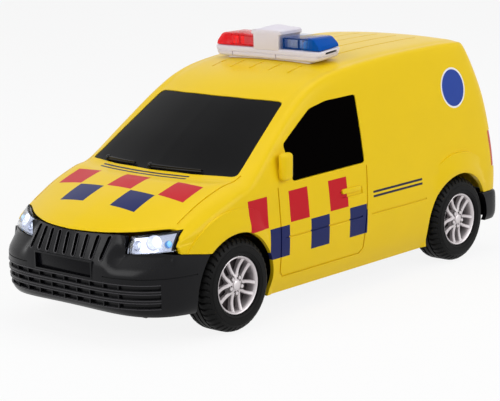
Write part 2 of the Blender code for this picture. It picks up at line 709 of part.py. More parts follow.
INNER_BACK = thickened((BACK_PROFILE[0], BACK_PROFILE[-1]))
back_path = plan_path(BACK_REACH, BACK_SQUARE)
rear_bumper = part("rear_bumper", swept_wall(BACK_BASE_X, -1, back_path, BACK_PROFILE, INNER_BACK), BLACK)
end_trim = cutter("bumper_end_trim", box(BACK_BASE_X - 1.0, -100.0, -OUTSIDE, OUTSIDE, 10.0, 40.0))
cut(rear_bumper, arches, end_trim)

# Headlamps: a clear lens on a bright housing with two bowls.
LAMP_CORNERS = (Vector((116.9, LAMP_IN, 40.3)), Vector((109.2, LAMP_OUT, 40.6)))
LAMP_CORNERS += (Vector((114.6, LAMP_IN + 0.2, 46.0)), Vector((103.0, LAMP_OUT - 1.3, 49.3)))
LAMP_BOW = 2.2
LAMP_CROWN = 0.5
LENS_THICKNESS = 1.2
HOUSING_DEPTH = 8.5
LAMP_BOWLS = ((0.60, 0.5, 3.5), (0.21, 0.46, 2.2))


def lamp_point(u, v, back):
    low = LAMP_CORNERS[0].lerp(LAMP_CORNERS[1], u)
    high = LAMP_CORNERS[2].lerp(LAMP_CORNERS[3], u)
    bow = LAMP_BOW * 4 * u * (1 - u) + LAMP_CROWN * 4 * v * (1 - v)
    return low.lerp(high, v) + Vector((bow - back, 0.0, 0.0))


def lamp_block(front, back):
    rows = []
    for k in range(7):
        face = [lamp_point(k / 6, n / 3, front) for n in range(4)]
        rear = [lamp_point(k / 6, n / 3, back) for n in reversed(range(4))]
        rows.append(face + rear)
    return faceted(skin(rows, True, True))


def ball(centre, radius):
    bm = bmesh.new()
    bmesh.ops.create_uvsphere(bm, u_segments=12, v_segments=8, radius=radius)
    bmesh.ops.translate(bm, verts=bm.verts, vec=centre)
    return bm


for word, side in SIDES:
    block = lamp_block(LENS_THICKNESS + GAP, HOUSING_DEPTH)
    housing = part(word + "_headlamp_housing", sided(block, side), CHROME)
    bowls = []
    for u, v, radius in LAMP_BOWLS:
        bowls.append(sided(ball(lamp_point(u, v, LENS_THICKNESS + 0.2), radius), side))
    cut(housing, cutter(word + "_lamp_bowls", *bowls))
    part(word + "_headlamp_lens", sided(lamp_block(0.0, LENS_THICKNESS), side), CLEAR)

# Mirror: a rounded head on a short foot that meets the corner of the left door.
MIRROR_OUT = FLARE_Y + 0.1
MIRROR_IN = MIRROR_OUT - 4.3
mirror = part("left_mirror", box(37.4, 44.4, MIRROR_IN, MIRROR_OUT, 62.2, 74.6, 1.4), YELLOW)
mirror_foot = cutter("mirror_foot", box(39.0, 43.6, MIRROR_IN - 3.2, MIRROR_OUT - 2.0, 63.2, 68.0))
mirror_seat = cutter("mirror_seat", body_solid(-GAP, 2))
join(mirror, mirror_foot)
cut(mirror, mirror_seat)

# Wipers: a flat blade along the foot of the screen, wider at its pivot end.
RIGHT_WIPER_IN = 11.6
LEFT_WIPER_IN = 17.6
WIPERS = (("right_wiper", RIGHT_WIPER_IN - SCREEN_FOOT_HALF, -12.0),)
WIPERS += (("left_wiper", -3.0, SCREEN_FOOT_HALF - LEFT_WIPER_IN),)
WIPER_SECTION = 5.07
WIPER_HEIGHT = 1.3


def screen_point(y, u):
    v = 0.0
    step = 1.0
    for _ in range(30):
        if body_point(u, v + step).y > abs(y):
            step /= 2
        else:
            v = min(v + step, 3.0)
    spot = body_point(u, v)
    return Vector((spot.x, y, spot.z))


def wiper_blade(y0, y1, lift):
    up = Vector((math.sin(SCREEN_SLOPE), 0.0, math.cos(SCREEN_SLOPE)))
    slope = Vector((-math.cos(SCREEN_SLOPE), 0.0, math.sin(SCREEN_SLOPE)))
    rows = []
    for k in range(9):
        t = k / 8
        spot = screen_point(y0 + (y1 - y0) * t, WIPER_SECTION) + up * lift
        foot = slope * (0.7 + 0.5 * (1 - t))
        crest = spot + up * WIPER_HEIGHT
        rows.append([spot - foot, spot + foot, crest + foot * 0.6, crest - foot * 0.6])
    return faceted(skin(rows, True, True))


for name, y0, y1 in WIPERS:
    part(name, wiper_blade(y0, y1, GAP), BLACK)

# Light bar: tray, lamp board, two lenses and the bridge between them.
BAR_FRONT = BAR_X + BAR_DEPTH / 2
BAR_BACK = BAR_X - BAR_DEPTH / 2
BAR_Z = STATIONS[9][2] + BAR_LIFT
TRAY_TOP = BAR_Z + BAR_TRAY_HEIGHT
LENS_Z = TRAY_TOP + GAP
LENS_TOP = LENS_Z + BAR_LENS_HEIGHT
BRIDGE_TOP = LENS_TOP + GAP
BAR_TOP = BRIDGE_TOP + BAR_DOME_HEIGHT
BRIDGE_HALF = 8.0
TRAY_FOOT = BAR_HALF_LENGTH - 2.2
TRAY = [(TRAY_FOOT, BAR_Z), (BAR_HALF_LENGTH - 0.6, BAR_Z + 1.1), (BAR_HALF_LENGTH, BAR_Z + 2.3)]
TRAY += [(BAR_HALF_LENGTH, TRAY_TOP)]
TRAY += [(-y, z) for y, z in reversed(TRAY)]
tray = part("light_bar_tray", prism(TRAY, "x", BAR_BACK, BAR_FRONT), WHITE)
PEDESTAL_HALF = BAR_HALF_LENGTH - 7.6
pedestal = cutter("light_bar_pedestal", box(
    BAR_BACK + 1.5, BAR_FRONT - 1.5, -PEDESTAL_HALF, PEDESTAL_HALF, BAR_Z - 4.7, BAR_Z + 0.5
))
roof_seat = cutter("light_bar_seat", body_solid(-GAP, 2))
POCKET_FLOOR = BAR_Z + 1.0
POCKET_HALF = TRAY_FOOT - 2.4
POCKET_EDGE = 2.5
pocket = cutter("light_bar_pocket", box(
    BAR_BACK + POCKET_EDGE, BAR_FRONT - POCKET_EDGE, -POCKET_HALF, POCKET_HALF, POCKET_FLOOR, TRAY_TOP + 3.0
))
SLOT_IN = BAR_HALF_LENGTH - 0.8
end_slots = cutter("light_bar_end_slots", *[
    sided(box(BAR_X - 4.0, BAR_X + 4.0, SLOT_IN, SLOT_IN + 4.0, TRAY_TOP - 1.8, TRAY_TOP - 0.9), side)
    for _, side in SIDES
])
join(tray, pedestal)
cut(tray, roof_seat, pocket, end_slots)

BOARD_LOW = POCKET_FLOOR + GAP
BOARD_EDGE = POCKET_EDGE + 0.5
BOARD_HALF = POCKET_HALF - 0.6
BULB_R = 2.4
BULB_Y = BAR_HALF_LENGTH * 0.6
board = part("light_bar_board", box(
    BAR_BACK + BOARD_EDGE, BAR_FRONT - BOARD_EDGE, -BOARD_HALF, BOARD_HALF, BOARD_LOW, BOARD_LOW + 1.1
), GREEN)
bulbs = cutter("light_bar_bulbs", *[
    rod("z", (BAR_X, y), BULB_R, BOARD_LOW + 0.5, BOARD_LOW + 5.4, 12, 1.6) for y in (-BULB_Y, BULB_Y)
])
join(board, bulbs)

LENS_IN = BRIDGE_HALF + GAP
LENS_OUT = BAR_HALF_LENGTH - 1.2
LENS_EDGE = 0.7
LENS_WALL = 1.2
LENS = [(LENS_IN, LENS_Z), (LENS_OUT, LENS_Z), (LENS_OUT - 0.6, LENS_Z + 0.32 * BAR_LENS_HEIGHT)]
LENS += [(LENS_OUT - 3.8, LENS_TOP - 0.6), (LENS_OUT - 5.4, LENS_TOP), (LENS_IN, LENS_TOP)]
lens_back = BAR_BACK + LENS_EDGE
lens_front = BAR_FRONT - LENS_EDGE
for name, side, look in (("blue_lens", 1, BLUE_LENS), ("red_lens", -1, RED_LENS)):
    lens = part(name, sided(prism(LENS, "x", lens_back, lens_front), side), look)
    inside = [(y, z - 3.0 if z < LENS_Z + 1.6 else z) for y, z in outline_offset(LENS, -LENS_WALL)]
    hollow_shape = prism(inside, "x", lens_back + LENS_WALL, lens_front - LENS_WALL)
    cut(lens, cutter(name + "_hollow", sided(hollow_shape, side)))

WING = BRIDGE_HALF + 1.2
BRIDGE = [(BRIDGE_HALF, LENS_Z), (BRIDGE_HALF, BRIDGE_TOP), (WING, BRIDGE_TOP)]
BRIDGE += [(WING - 0.2, BRIDGE_TOP + 0.5 * BAR_DOME_HEIGHT), (0.74 * BRIDGE_HALF, BAR_TOP - 0.5)]
BRIDGE += [(0.32 * BRIDGE_HALF, BAR_TOP - 0.06), (0.0, BAR_TOP)]
BRIDGE += [(-y, z) for y, z in reversed(BRIDGE[:-1])]
part("light_bar_bridge", prism(BRIDGE, "x", BAR_BACK + 0.4, BAR_FRONT), WHITE)
# Wheels: a tyre with shoulder blocks on a rim with five pairs of spokes.
TYRE_BEAD_R = RIM_R + GAP
BEAD_Y = TYRE_HALF_WIDTH - 1.2
BULGE_R = TYRE_R - 4.7
SHOULDER_Y = TYRE_HALF_WIDTH - 0.7
SHOULDER_R = TYRE_R - 1.6
CROWN_Y = TYRE_HALF_WIDTH - 3.6
BLOCK_NOTCH = 0.6


def tyre_mesh():
    rows = []
    count = TREAD_BLOCKS * 2
    for k in range(count):
        a = math.tau * k / count - math.pi / 2
        notch = BLOCK_NOTCH if k % 2 else 0.0
        half = [(-BEAD_Y, TYRE_BEAD_R), (-TYRE_HALF_WIDTH, BULGE_R)]
        half += [(-SHOULDER_Y, SHOULDER_R - notch), (-CROWN_Y, TYRE_R)]
        ring = half + [(-y, r) for y, r in reversed(half)]
        rows.append([(r * math.cos(a), y, r * math.sin(a)) for y, r in ring])
    rows.append(rows[0])
    bm = skin(rows, True, False)
    bmesh.ops.remove_doubles(bm, verts=bm.verts, dist=0.0005)
    return faceted(bm)


BARREL_R = RIM_R - 1.4
SPOKE_OUT = RIM_R - 1.6
SPOKE_IN = 4.4
HUB_R = 3.6
HUB_BORE = AXLE_R + 0.1
STUB_BORE = AXLE_R + RUNNING_GAP
RIM_FACE = 7.6
RIM_BACK = -7.4
SPOKE_BACK = 4.4
HUB_BACK = -2.6
RIM_SIDES = 20
SPOKE_PAIRS = 5
PAIR_GAP = (math.radians(6.0), math.radians(11.0))
WIDE_GAP = (math.radians(14.0), math.radians(13.0))


def rim_profile(bore):
    profile = [(RIM_FACE, RIM_R), (RIM_BACK, RIM_R), (RIM_BACK, BARREL_R), (SPOKE_BACK, BARREL_R)]
    profile += [(SPOKE_BACK + 0.2, HUB_R), (HUB_BACK, HUB_R), (HUB_BACK, bore), (RIM_FACE - 0.6, bore)]
    return profile + [(RIM_FACE - 0.4, HUB_R), (RIM_FACE - 1.6, 6.0), (RIM_FACE - 0.6, RIM_R - 1.2)]


def spoke_window(middle, halves):
    """A gap between two spokes; halves are its half-angles at the hub and at the rim."""
    points = []
    for radius, turns in ((SPOKE_IN, (-halves[0], halves[0])), (SPOKE_OUT, (halves[1], 0.0, -halves[1]))):
        for turn in turns:
            points.append((radius * math.cos(middle + turn), radius * math.sin(middle + turn)))
    return prism(points, "y", SPOKE_BACK - 1.4, RIM_FACE + 4.4)


def rim(name, side, origin, bore):
    obj = part(name, sided(turned(rim_profile(bore), "y", (0.0, 0.0), RIM_SIDES), side), SILVER)
    windows = []
    for k in range(SPOKE_PAIRS):
        a = math.tau * k / SPOKE_PAIRS - math.pi / 2
        windows.append(sided(spoke_window(a, PAIR_GAP), side))
        windows.append(sided(spoke_window(a + math.pi / SPOKE_PAIRS, WIDE_GAP), side))
    tool = cutter(name + "_windows", *windows)
    for item in (obj, tool):
        item.location = Vector(origin) * MM
    cut(obj, tool)


for place, x, bore in (("front", FRONT_AXLE_X, STUB_BORE), ("rear", REAR_AXLE_X, HUB_BORE)):
    for word, side in SIDES:
        hub = (x, side * WHEEL_Y, AXLE_Z)
        tyre = part(place + "_" + word + "_tyre", tyre_mesh(), RUBBER)
        tyre.location = Vector(hub) * MM
        rim(place + "_" + word + "_rim", side, hub, bore)

# Chassis pan with the battery bay, open underneath.
CELL_SPACING = CELL_R + 0.25
BAY_LENGTH = CELL_LENGTH + 6.0
BAY_HALF_WIDTH = CELLS * (CELL_SPACING + 0.05) + 0.6
BAY_FRONT = BAY_CENTRE_X + BAY_LENGTH / 2
BAY_BACK = BAY_CENTRE_X - BAY_LENGTH / 2
BAY_WALL = 1.6
COVER_TOP = PAN_BOTTOM - GAP
COVER_THICKNESS = 1.5
COVER_LOW = COVER_TOP - COVER_THICKNESS
CELL_Z = COVER_TOP + GAP + CELL_R
BAY_ROOF = CELL_Z + CELL_R + GAP
BURIED = 0.6
WELL_IN = KINGPIN_Y - 11.5
REAR_WELL_IN = WHEEL_Y - TYRE_HALF_WIDTH - 2.6
NOSE_HALF = 34.0
PAN = [(-118.0, 30.0), (-116.0, REAR_WELL_IN), (-66.0, REAR_WELL_IN), (-62.0, PAN_HALF_WIDTH)]
PAN += [(47.0, PAN_HALF_WIDTH), (49.0, WELL_IN), (100.0, WELL_IN), (103.0, NOSE_HALF), (111.0, NOSE_HALF)]
PAN += [(x, -y) for x, y in reversed(PAN)]
pan = part("chassis_pan", prism(PAN, "z", PAN_BOTTOM, PAN_TOP), GREY)
BLOCK_HALF = BAY_HALF_WIDTH + BAY_WALL
bay_block = cutter("bay_block", box(
    BAY_BACK - BAY_WALL, BAY_FRONT + BAY_WALL, -BLOCK_HALF, BLOCK_HALF, PAN_TOP - BURIED, BAY_ROOF + BAY_WALL
))
bay_hollow = cutter("bay_hollow", box(BAY_BACK, BAY_FRONT, -BAY_HALF_WIDTH, BAY_HALF_WIDTH, 0.0, BAY_ROOF))
RAIL_IN = BLOCK_HALF + 0.8
RAIL_OUT = RAIL_IN + 2.0
RAIL_LIP = RAIL_IN - 1.6
RAIL_SHELF = COVER_LOW - GAP
RAIL_LOW = RAIL_SHELF - 1.0
RAIL = [(RAIL_IN, PAN_BOTTOM + BURIED), (RAIL_OUT, PAN_BOTTOM + BURIED), (RAIL_OUT, RAIL_LOW)]
RAIL += [(RAIL_LIP, RAIL_LOW), (RAIL_LIP, RAIL_SHELF), (RAIL_IN, RAIL_SHELF)]
rails = cutter("cover_rails", *[
    sided(prism(RAIL, "x", BAY_BACK, BAY_FRONT + 2.0), side) for _, side in SIDES
])
STOP_X = BAY_FRONT + 3.0
stop_bar = box(STOP_X, STOP_X + 1.6, -20.0, 20.0, COVER_TOP - 1.2, PAN_BOTTOM + BURIED)
cover_stop = cutter("cover_stop", stop_bar)
join(pan, bay_block, rails, cover_stop)
cut(pan, bay_hollow)

COVER_HALF = RAIL_IN - GAP
COVER_BACK = BAY_BACK - 3.0
cover = part("battery_cover", box(
    COVER_BACK, STOP_X - GAP, -COVER_HALF, COVER_HALF, COVER_LOW, COVER_TOP
), GREY)
GRIP_PITCH = 2.4
grips = cutter("cover_grips", *[
    box(x, x + GRIP_PITCH / 2, -10.0, 10.0, COVER_LOW - 1.0, COVER_LOW + 0.5)
    for x in [COVER_BACK + 3.0 + k * GRIP_PITCH for k in range(4)]
])
cut(cover, grips)

CONTACT_THICKNESS = (BAY_LENGTH - CELL_LENGTH) / 2 - 2 * GAP
CONTACT_HALF = BAY_HALF_WIDTH - GAP
cell_back = BAY_CENTRE_X - CELL_LENGTH / 2
for k in range(CELLS):
    y = (2 * k - CELLS + 1) * CELL_SPACING
    cell = rod("x", (y, CELL_Z), CELL_R, cell_back, cell_back + CELL_LENGTH, 16)
    part("cell_" + "abcd"[k], cell, COPPER_TOP)
contact_edges = {"front_contacts": BAY_FRONT - GAP - CONTACT_THICKNESS, "rear_contacts": BAY_BACK + GAP}
for name, edge in contact_edges.items():
    strip = box(edge, edge + CONTACT_THICKNESS, -CONTACT_HALF, CONTACT_HALF, COVER_TOP + 1.5, BAY_ROOF - GAP)
    part(name, strip, STEEL)

# Circuit board on the roof of the battery bay.
BOARD_Z = BAY_ROOF + BAY_WALL + GAP
CHIP_Z = BOARD_Z + 1.0
CIRCUIT_HALF = 22.0
circuit = part("circuit_board", box(
    BAY_BACK + 6.0, BAY_FRONT - 8.0, -CIRCUIT_HALF, CIRCUIT_HALF, BOARD_Z, BOARD_Z + 1.4
), GREEN)
chip = box(-22.0, -12.0, -8.0, 2.0, CHIP_Z, CHIP_Z + 2.2)
crystal_can = box(-6.0, 2.0, 6.0, 14.0, CHIP_Z, CHIP_Z + 5.0)
capacitor = rod("z", (-26.0, 12.0), 3.2, CHIP_Z, CHIP_Z + 8.0, 12)
join(circuit, cutter("board_parts", chip, crystal_can, capacitor))

# Power switch in the nose of the pan.
SWITCH_X = 90.0
SWITCH_TRAVEL = 4.0
KNOB_HALF = 2.4
KNOB_REACH = 2.0
FLANGE = 1.2
KNOB_FRONT = SWITCH_X + KNOB_REACH
KNOB_BACK = SWITCH_X - KNOB_REACH
switch_slot = cutter("switch_slot", box(
    KNOB_BACK - GAP, KNOB_FRONT + GAP, -KNOB_HALF - GAP, KNOB_HALF + SWITCH_TRAVEL + GAP, 0.0, 20.0
))
cut(pan, switch_slot)
knob = part("switch_knob", box(
    KNOB_BACK, KNOB_FRONT, -KNOB_HALF, KNOB_HALF, PAN_BOTTOM - 2.0, DECK_Z + GAP
), BLACK, origin=(SWITCH_X, 0.0, PAN_BOTTOM))
FLANGE_HALF = KNOB_HALF + FLANGE
knob_flange = cutter("knob_flange", box(
    KNOB_BACK - FLANGE, KNOB_FRONT + FLANGE, -FLANGE_HALF, FLANGE_HALF, DECK_Z, DECK_Z + FLANGE
))
join(knob, knob_flange)

# Screws that hold the body on the pan, and the posts they run into.
SCREW_Y = PAN_HALF_WIDTH - 6.6
SCREW_SPOTS = ((34.0, SCREW_Y), (-54.0, SCREW_Y))
SCREW_R = 1.2
SCREW_HEAD_R = 2.4
SCREW_TOP = DECK_Z + 8.0
HEAD_TOP = PAN_BOTTOM - GAP
POST_HALF = 3.6
POST_TOP = DECK_Z + 14.0
POST_ROOT = [(BODY_HALF_WIDTH - 5.2, DECK_Z), (BODY_HALF_WIDTH - 2.3, 21.0)]
POST_ROOT.append((BODY_HALF_WIDTH - 1.7, POST_TOP))
posts = []
holes = []
for x, y in SCREW_SPOTS:
    outline = [(y - POST_HALF, DECK_Z)] + POST_ROOT + [(y - POST_HALF, POST_TOP)]
    for _, side in SIDES:
        posts.append(sided(prism(outline, "x", x - POST_HALF, x + POST_HALF), side))
        holes.append(rod("z", (x, side * y), SCREW_R + 0.2, 0.0, SCREW_TOP + 1.0, 12))
post_holes = cutter("post_holes", *holes)
join(body, cutter("body_posts", *posts))
cut(body, post_holes)
cut(pan, post_holes)
for end, (x, y) in zip(("front", "rear"), SCREW_SPOTS):
    for word, side in SIDES:
        name = end + "_" + word
        shank = rod("z", (x, side * y), SCREW_R, HEAD_TOP - 0.3, SCREW_TOP, 12)
        screw = part(name + "_body_screw", shank, STEEL)
        head = rod("z", (x, side * y), SCREW_HEAD_R, HEAD_TOP - 1.3, HEAD_TOP, 12)
        join(screw, cutter(name + "_screw_head", head))


# Rear drive: motor pinion, two-step gear and the gear on the rear axle.
ADDENDUM = 0.9
DEDENDUM = 1.2
TOOTH_SHARE = 0.46
TIP_SHARE = 0.24
ROOT_SHARE = 0.62


def gear_outline(teeth, module, centre, tooth_at):
    """A toothed wheel seen along the axle; tooth_at is the direction of one tooth."""
    tip = teeth * module / 2 + ADDENDUM * module
    root = teeth * module / 2 - DEDENDUM * module
    points = []
    for k in range(teeth):
        middle = tooth_at + math.tau * k / teeth
        for radius, share in ((root, -ROOT_SHARE), (tip, -TIP_SHARE), (tip, TIP_SHARE), (root, ROOT_SHARE)):
            a = middle + share * TOOTH_SHARE * math.tau / teeth
            points.append((centre[0] + radius * math.cos(a), centre[1] + radius * math.sin(a)))
    return points


def along_angle(start, reach, angle):
    return (start[0] + reach * math.cos(angle), start[1] + reach * math.sin(angle))


AXLE_SPOT = (REAR_AXLE_X, AXLE_Z)
STEP_ANGLE = math.radians(40.0)
STEP_REACH = GEAR_MODULE * (DRIVE_TEETH + SMALL_TEETH) / 2 + MESH_PLAY
STEP_SPOT = along_angle(AXLE_SPOT, STEP_REACH, STEP_ANGLE)
MOTOR_ANGLE = math.radians(-15.0)
MOTOR_REACH = GEAR_MODULE * (BIG_TEETH + PINION_TEETH) / 2 + MESH_PLAY
MOTOR_SPOT = along_angle(STEP_SPOT, MOTOR_REACH, MOTOR_ANGLE)
GEAR_WIDTH = 4.4
NEAR_LOW = -7.4
NEAR_HIGH = NEAR_LOW + GEAR_WIDTH
FAR_LOW = NEAR_LOW - GEAR_WIDTH - 0.6
FAR_HIGH = FAR_LOW + GEAR_WIDTH
BOX_WALL = 1.8
BOX_LEFT = 0.9
BOX_RIGHT = -15.4
BOX_BACK = REAR_AXLE_X - 8.4
BOX_FRONT = MOTOR_SPOT[0] + 7.0
BOX_TOP = STEP_SPOT[1] + 5.0
STEP_PIN_R = 1.0
MOTOR_R = 9.8
MOTOR_LENGTH = 25.0
SHAFT_R = 1.0
SHAFT_END = 4.0
AXLE_END = WHEEL_Y + RIM_FACE - 0.8
EVERYWHERE = 60.0


def bore(name, axis, spot, radius, sides=12):
    return cutter(name, rod(axis, spot, radius, -EVERYWHERE, EVERYWHERE, sides))


rear_origin = (REAR_AXLE_X, 0.0, AXLE_Z)
step_origin = (STEP_SPOT[0], 0.0, STEP_SPOT[1])
motor_origin = (MOTOR_SPOT[0], 0.0, MOTOR_SPOT[1])
part("rear_axle", rod("y", AXLE_SPOT, AXLE_R, -AXLE_END, AXLE_END, 16), STEEL, origin=rear_origin)

teeth = gear_outline(DRIVE_TEETH, GEAR_MODULE, AXLE_SPOT, STEP_ANGLE)
drive_gear = part("drive_gear", prism(teeth, "y", NEAR_LOW, NEAR_HIGH), NYLON, origin=rear_origin)
cut(drive_gear, bore("drive_bore", "y", AXLE_SPOT, HUB_BORE, 16))

teeth = gear_outline(SMALL_TEETH, GEAR_MODULE, STEP_SPOT, STEP_ANGLE + math.pi + math.pi / SMALL_TEETH)
step_gear = part("step_gear", prism(teeth, "y", FAR_HIGH - 0.2, NEAR_HIGH), NYLON, origin=step_origin)
teeth = gear_outline(BIG_TEETH, GEAR_MODULE, STEP_SPOT, MOTOR_ANGLE)
join(step_gear, cutter("step_big_wheel", prism(teeth, "y", FAR_LOW, FAR_HIGH)))
cut(step_gear, bore("step_bore", "y", STEP_SPOT, STEP_PIN_R + RUNNING_GAP))
part("step_pin", rod("y", STEP_SPOT, STEP_PIN_R, BOX_RIGHT - BOX_WALL, BOX_LEFT, 12), STEEL)

MOTOR_FACE = BOX_LEFT + GAP
teeth = gear_outline(PINION_TEETH, GEAR_MODULE, MOTOR_SPOT, MOTOR_ANGLE + math.pi + math.pi / PINION_TEETH)
pinion = part("motor_pinion", prism(teeth, "y", FAR_LOW, FAR_HIGH), STEEL, origin=motor_origin)
shaft = rod("y", MOTOR_SPOT, SHAFT_R, FAR_LOW + 0.5, MOTOR_FACE + SHAFT_END, 12)
join(pinion, cutter("motor_shaft", shaft))

motor = part("drive_motor", rod("y", MOTOR_SPOT, MOTOR_R, MOTOR_FACE, MOTOR_FACE + MOTOR_LENGTH, 24), SILVER)
shaft_hole = rod("y", MOTOR_SPOT, SHAFT_R + RUNNING_GAP, -EVERYWHERE, MOTOR_FACE + SHAFT_END + 1.0, 12)
cut(motor, cutter("motor_shaft_hole", shaft_hole))
gearbox = part("gearbox", box(
    BOX_BACK - BOX_WALL, BOX_FRONT, BOX_RIGHT - BOX_WALL, BOX_LEFT, DECK_Z, BOX_TOP
), GREY)
inside = cutter("gearbox_inside", box(
    BOX_BACK, BOX_FRONT - BOX_WALL, BOX_RIGHT, BOX_LEFT - BOX_WALL, 0.0, EVERYWHERE
))
cut(gearbox, inside)
cut(gearbox, bore("gearbox_axle_bore", "y", AXLE_SPOT, AXLE_R + RUNNING_GAP, 16))
cut(gearbox, bore("gearbox_pin_bore", "y", STEP_SPOT, STEP_PIN_R + 0.05))
cut(gearbox, bore("gearbox_shaft_bore", "y", MOTOR_SPOT, SHAFT_R + RUNNING_GAP))
CRADLE_HALF = 8.0
CRADLE_TOP = AXLE_Z - 2.0
motor_cradle = part("motor_cradle", box(
    MOTOR_SPOT[0] - CRADLE_HALF, MOTOR_SPOT[0] + CRADLE_HALF,
    MOTOR_FACE + 3.0, MOTOR_FACE + MOTOR_LENGTH - 3.0, DECK_Z, CRADLE_TOP
), GREY)
cut(motor_cradle, bore("motor_bed", "y", MOTOR_SPOT, MOTOR_R + GAP, 24))

# Steering: carrier, two knuckles, tie rod with a rack, steering motor and its pinion.
PLATE = 2.1
YOKE_LOW = AXLE_Z - 6.0
YOKE_HIGH = AXLE_Z + 6.0
CARRIER_HALF = 4.0
YOKE_END = KINGPIN_Y + 3.0
YOKE_ROOT = KINGPIN_Y - 14.0
CARRIER = [(YOKE_END, DECK_Z), (YOKE_END, YOKE_LOW), (YOKE_ROOT, YOKE_LOW), (YOKE_ROOT, YOKE_HIGH)]
CARRIER += [(YOKE_END, YOKE_HIGH), (YOKE_END, YOKE_HIGH + PLATE)]
CARRIER += [(-y, z) for y, z in reversed(CARRIER)]
beam = prism(CARRIER, "x", FRONT_AXLE_X - CARRIER_HALF, FRONT_AXLE_X + CARRIER_HALF)
carrier = part("steering_carrier", beam, GREY)
for word, side in SIDES:
    spot = (FRONT_AXLE_X, side * KINGPIN_Y)
    cut(carrier, bore(word + "_kingpin_hole", "z", spot, KINGPIN_R + RUNNING_GAP))

ARM_X = FRONT_AXLE_X - ARM_BACK
ARM_Y = KINGPIN_Y - ARM_IN
KNUCKLE_LOW = YOKE_LOW + GAP
KNUCKLE_HIGH = YOKE_HIGH - GAP
KNUCKLE_HALF = 3.6
ARM_TOP = KNUCKLE_LOW + 1.9
ARM_HALF = 1.8
ROD_LOW = ARM_TOP + GAP
ROD_HIGH = ROD_LOW + ROD_THICKNESS
KNUCKLE_OUT = WHEEL_Y + HUB_BACK - GAP
ARM = [(FRONT_AXLE_X - 2.0, KINGPIN_Y - 3.0), (FRONT_AXLE_X - 2.0, KINGPIN_Y + 1.0)]
ARM += [(ARM_X - 1.6, ARM_Y + ARM_HALF), (ARM_X - 1.6, ARM_Y - ARM_HALF)]
for word, side in SIDES:
    name = "front_" + word + "_"
    hub_block = box(
        FRONT_AXLE_X - KNUCKLE_HALF, FRONT_AXLE_X + KNUCKLE_HALF,
        KINGPIN_Y - 3.4, KNUCKLE_OUT, KNUCKLE_LOW, KNUCKLE_HIGH
    )
    origin = (FRONT_AXLE_X, side * KINGPIN_Y, AXLE_Z)
    knuckle = part(name + "knuckle", sided(hub_block, side), GREY, origin=origin)
    pin = rod("z", origin[:2], KINGPIN_R, DECK_Z + GAP, YOKE_HIGH + PLATE - 0.2, 12)
    stub = rod("y", (FRONT_AXLE_X, AXLE_Z), AXLE_R, KINGPIN_Y, AXLE_END, 12)
    arm_pin = rod("z", (ARM_X, side * ARM_Y), ARM_PIN_R, ARM_TOP - 0.6, ROD_HIGH + 0.6, 12)
    join(knuckle, cutter(name + "kingpin", pin), cutter(name + "stub", sided(stub, side)))
    join(knuckle, cutter(name + "arm", sided(prism(ARM, "z", KNUCKLE_LOW, ARM_TOP), side)))
    join(knuckle, cutter(name + "arm_pin", arm_pin))

# The arm pins swing in slots that are long enough fore and aft for the whole lock.
SLOT_AHEAD = 3.3 + ARM_PIN_R + GAP
SLOT_BEHIND = 1.8 + ARM_PIN_R + GAP
SLOT_HALF = ARM_PIN_R + 0.55
EYE = 1.5
EYE_HALF = SLOT_HALF + EYE
ROD_BACK = ARM_X - SLOT_BEHIND - EYE
ROD_AHEAD = ARM_X + SLOT_AHEAD + EYE
ROD_BAR_AHEAD = ROD_BACK + 4.0
ROD_OUTLINE = [(ROD_BACK, -ARM_Y - EYE_HALF), (ROD_AHEAD, -ARM_Y - EYE_HALF)]
ROD_OUTLINE += [(ROD_AHEAD, -ARM_Y + EYE_HALF), (ROD_BAR_AHEAD, -ARM_Y + EYE_HALF)]
ROD_OUTLINE += [(x, -y) for x, y in reversed(ROD_OUTLINE)]
tie_rod = part("tie_rod", prism(ROD_OUTLINE, "z", ROD_LOW, ROD_HIGH), NYLON)
cut(tie_rod, cutter("rod_slots", *[
    box(ARM_X - SLOT_BEHIND, ARM_X + SLOT_AHEAD, y - SLOT_HALF, y + SLOT_HALF, 0.0, EVERYWHERE)
    for y in (ARM_Y, -ARM_Y)
]))
RACK_PITCH = math.pi * RACK_MODULE
RACK_LINE = ROD_BACK - 1.6
RACK_ROOT = RACK_LINE + DEDENDUM * RACK_MODULE
RACK_TIP = RACK_LINE - ADDENDUM * RACK_MODULE
RACK_HALF = 13.0
RACK_TEETH = 9
rack = [(ROD_BACK + 1.0, RACK_HALF), (RACK_ROOT, RACK_HALF)]
for k in range(RACK_TEETH):
    y = ((RACK_TEETH - 1) / 2 - k) * RACK_PITCH
    rack += [(RACK_ROOT, y + 0.28 * RACK_PITCH), (RACK_TIP, y + 0.11 * RACK_PITCH)]
    rack += [(RACK_TIP, y - 0.11 * RACK_PITCH), (RACK_ROOT, y - 0.28 * RACK_PITCH)]
rack += [(RACK_ROOT, -RACK_HALF), (ROD_BACK + 1.0, -RACK_HALF)]
join(tie_rod, cutter("rack_teeth", prism(rack, "z", ROD_LOW, ROD_HIGH)))

STEER_X = RACK_LINE - STEER_TEETH * RACK_MODULE / 2 - MESH_PLAY
STEER_SPOT = (STEER_X, 0.0)
STEER_BASE = ROD_LOW - 0.9
POST_R = 1.4
teeth = gear_outline(STEER_TEETH, RACK_MODULE, STEER_SPOT, math.pi / STEER_TEETH)
wheel = prism(teeth, "z", STEER_BASE + 0.4, ROD_HIGH + 0.5)
steer_pinion = part("steering_pinion", wheel, NYLON, origin=(STEER_X, 0.0, ROD_LOW))
cut(steer_pinion, bore("steer_bore", "z", STEER_SPOT, POST_R + RUNNING_GAP))
STEER_MOTOR_HALF = 9.0
STEER_MOTOR_HEIGHT = 17.0
STEER_DECK_HALF = 7.0
steer_block = box(
    STEER_X - 22.0, STEER_X - 7.0, -STEER_MOTOR_HALF, STEER_MOTOR_HALF, DECK_Z, DECK_Z + STEER_MOTOR_HEIGHT
)
steer_motor = part("steering_motor", steer_block, BLACK)
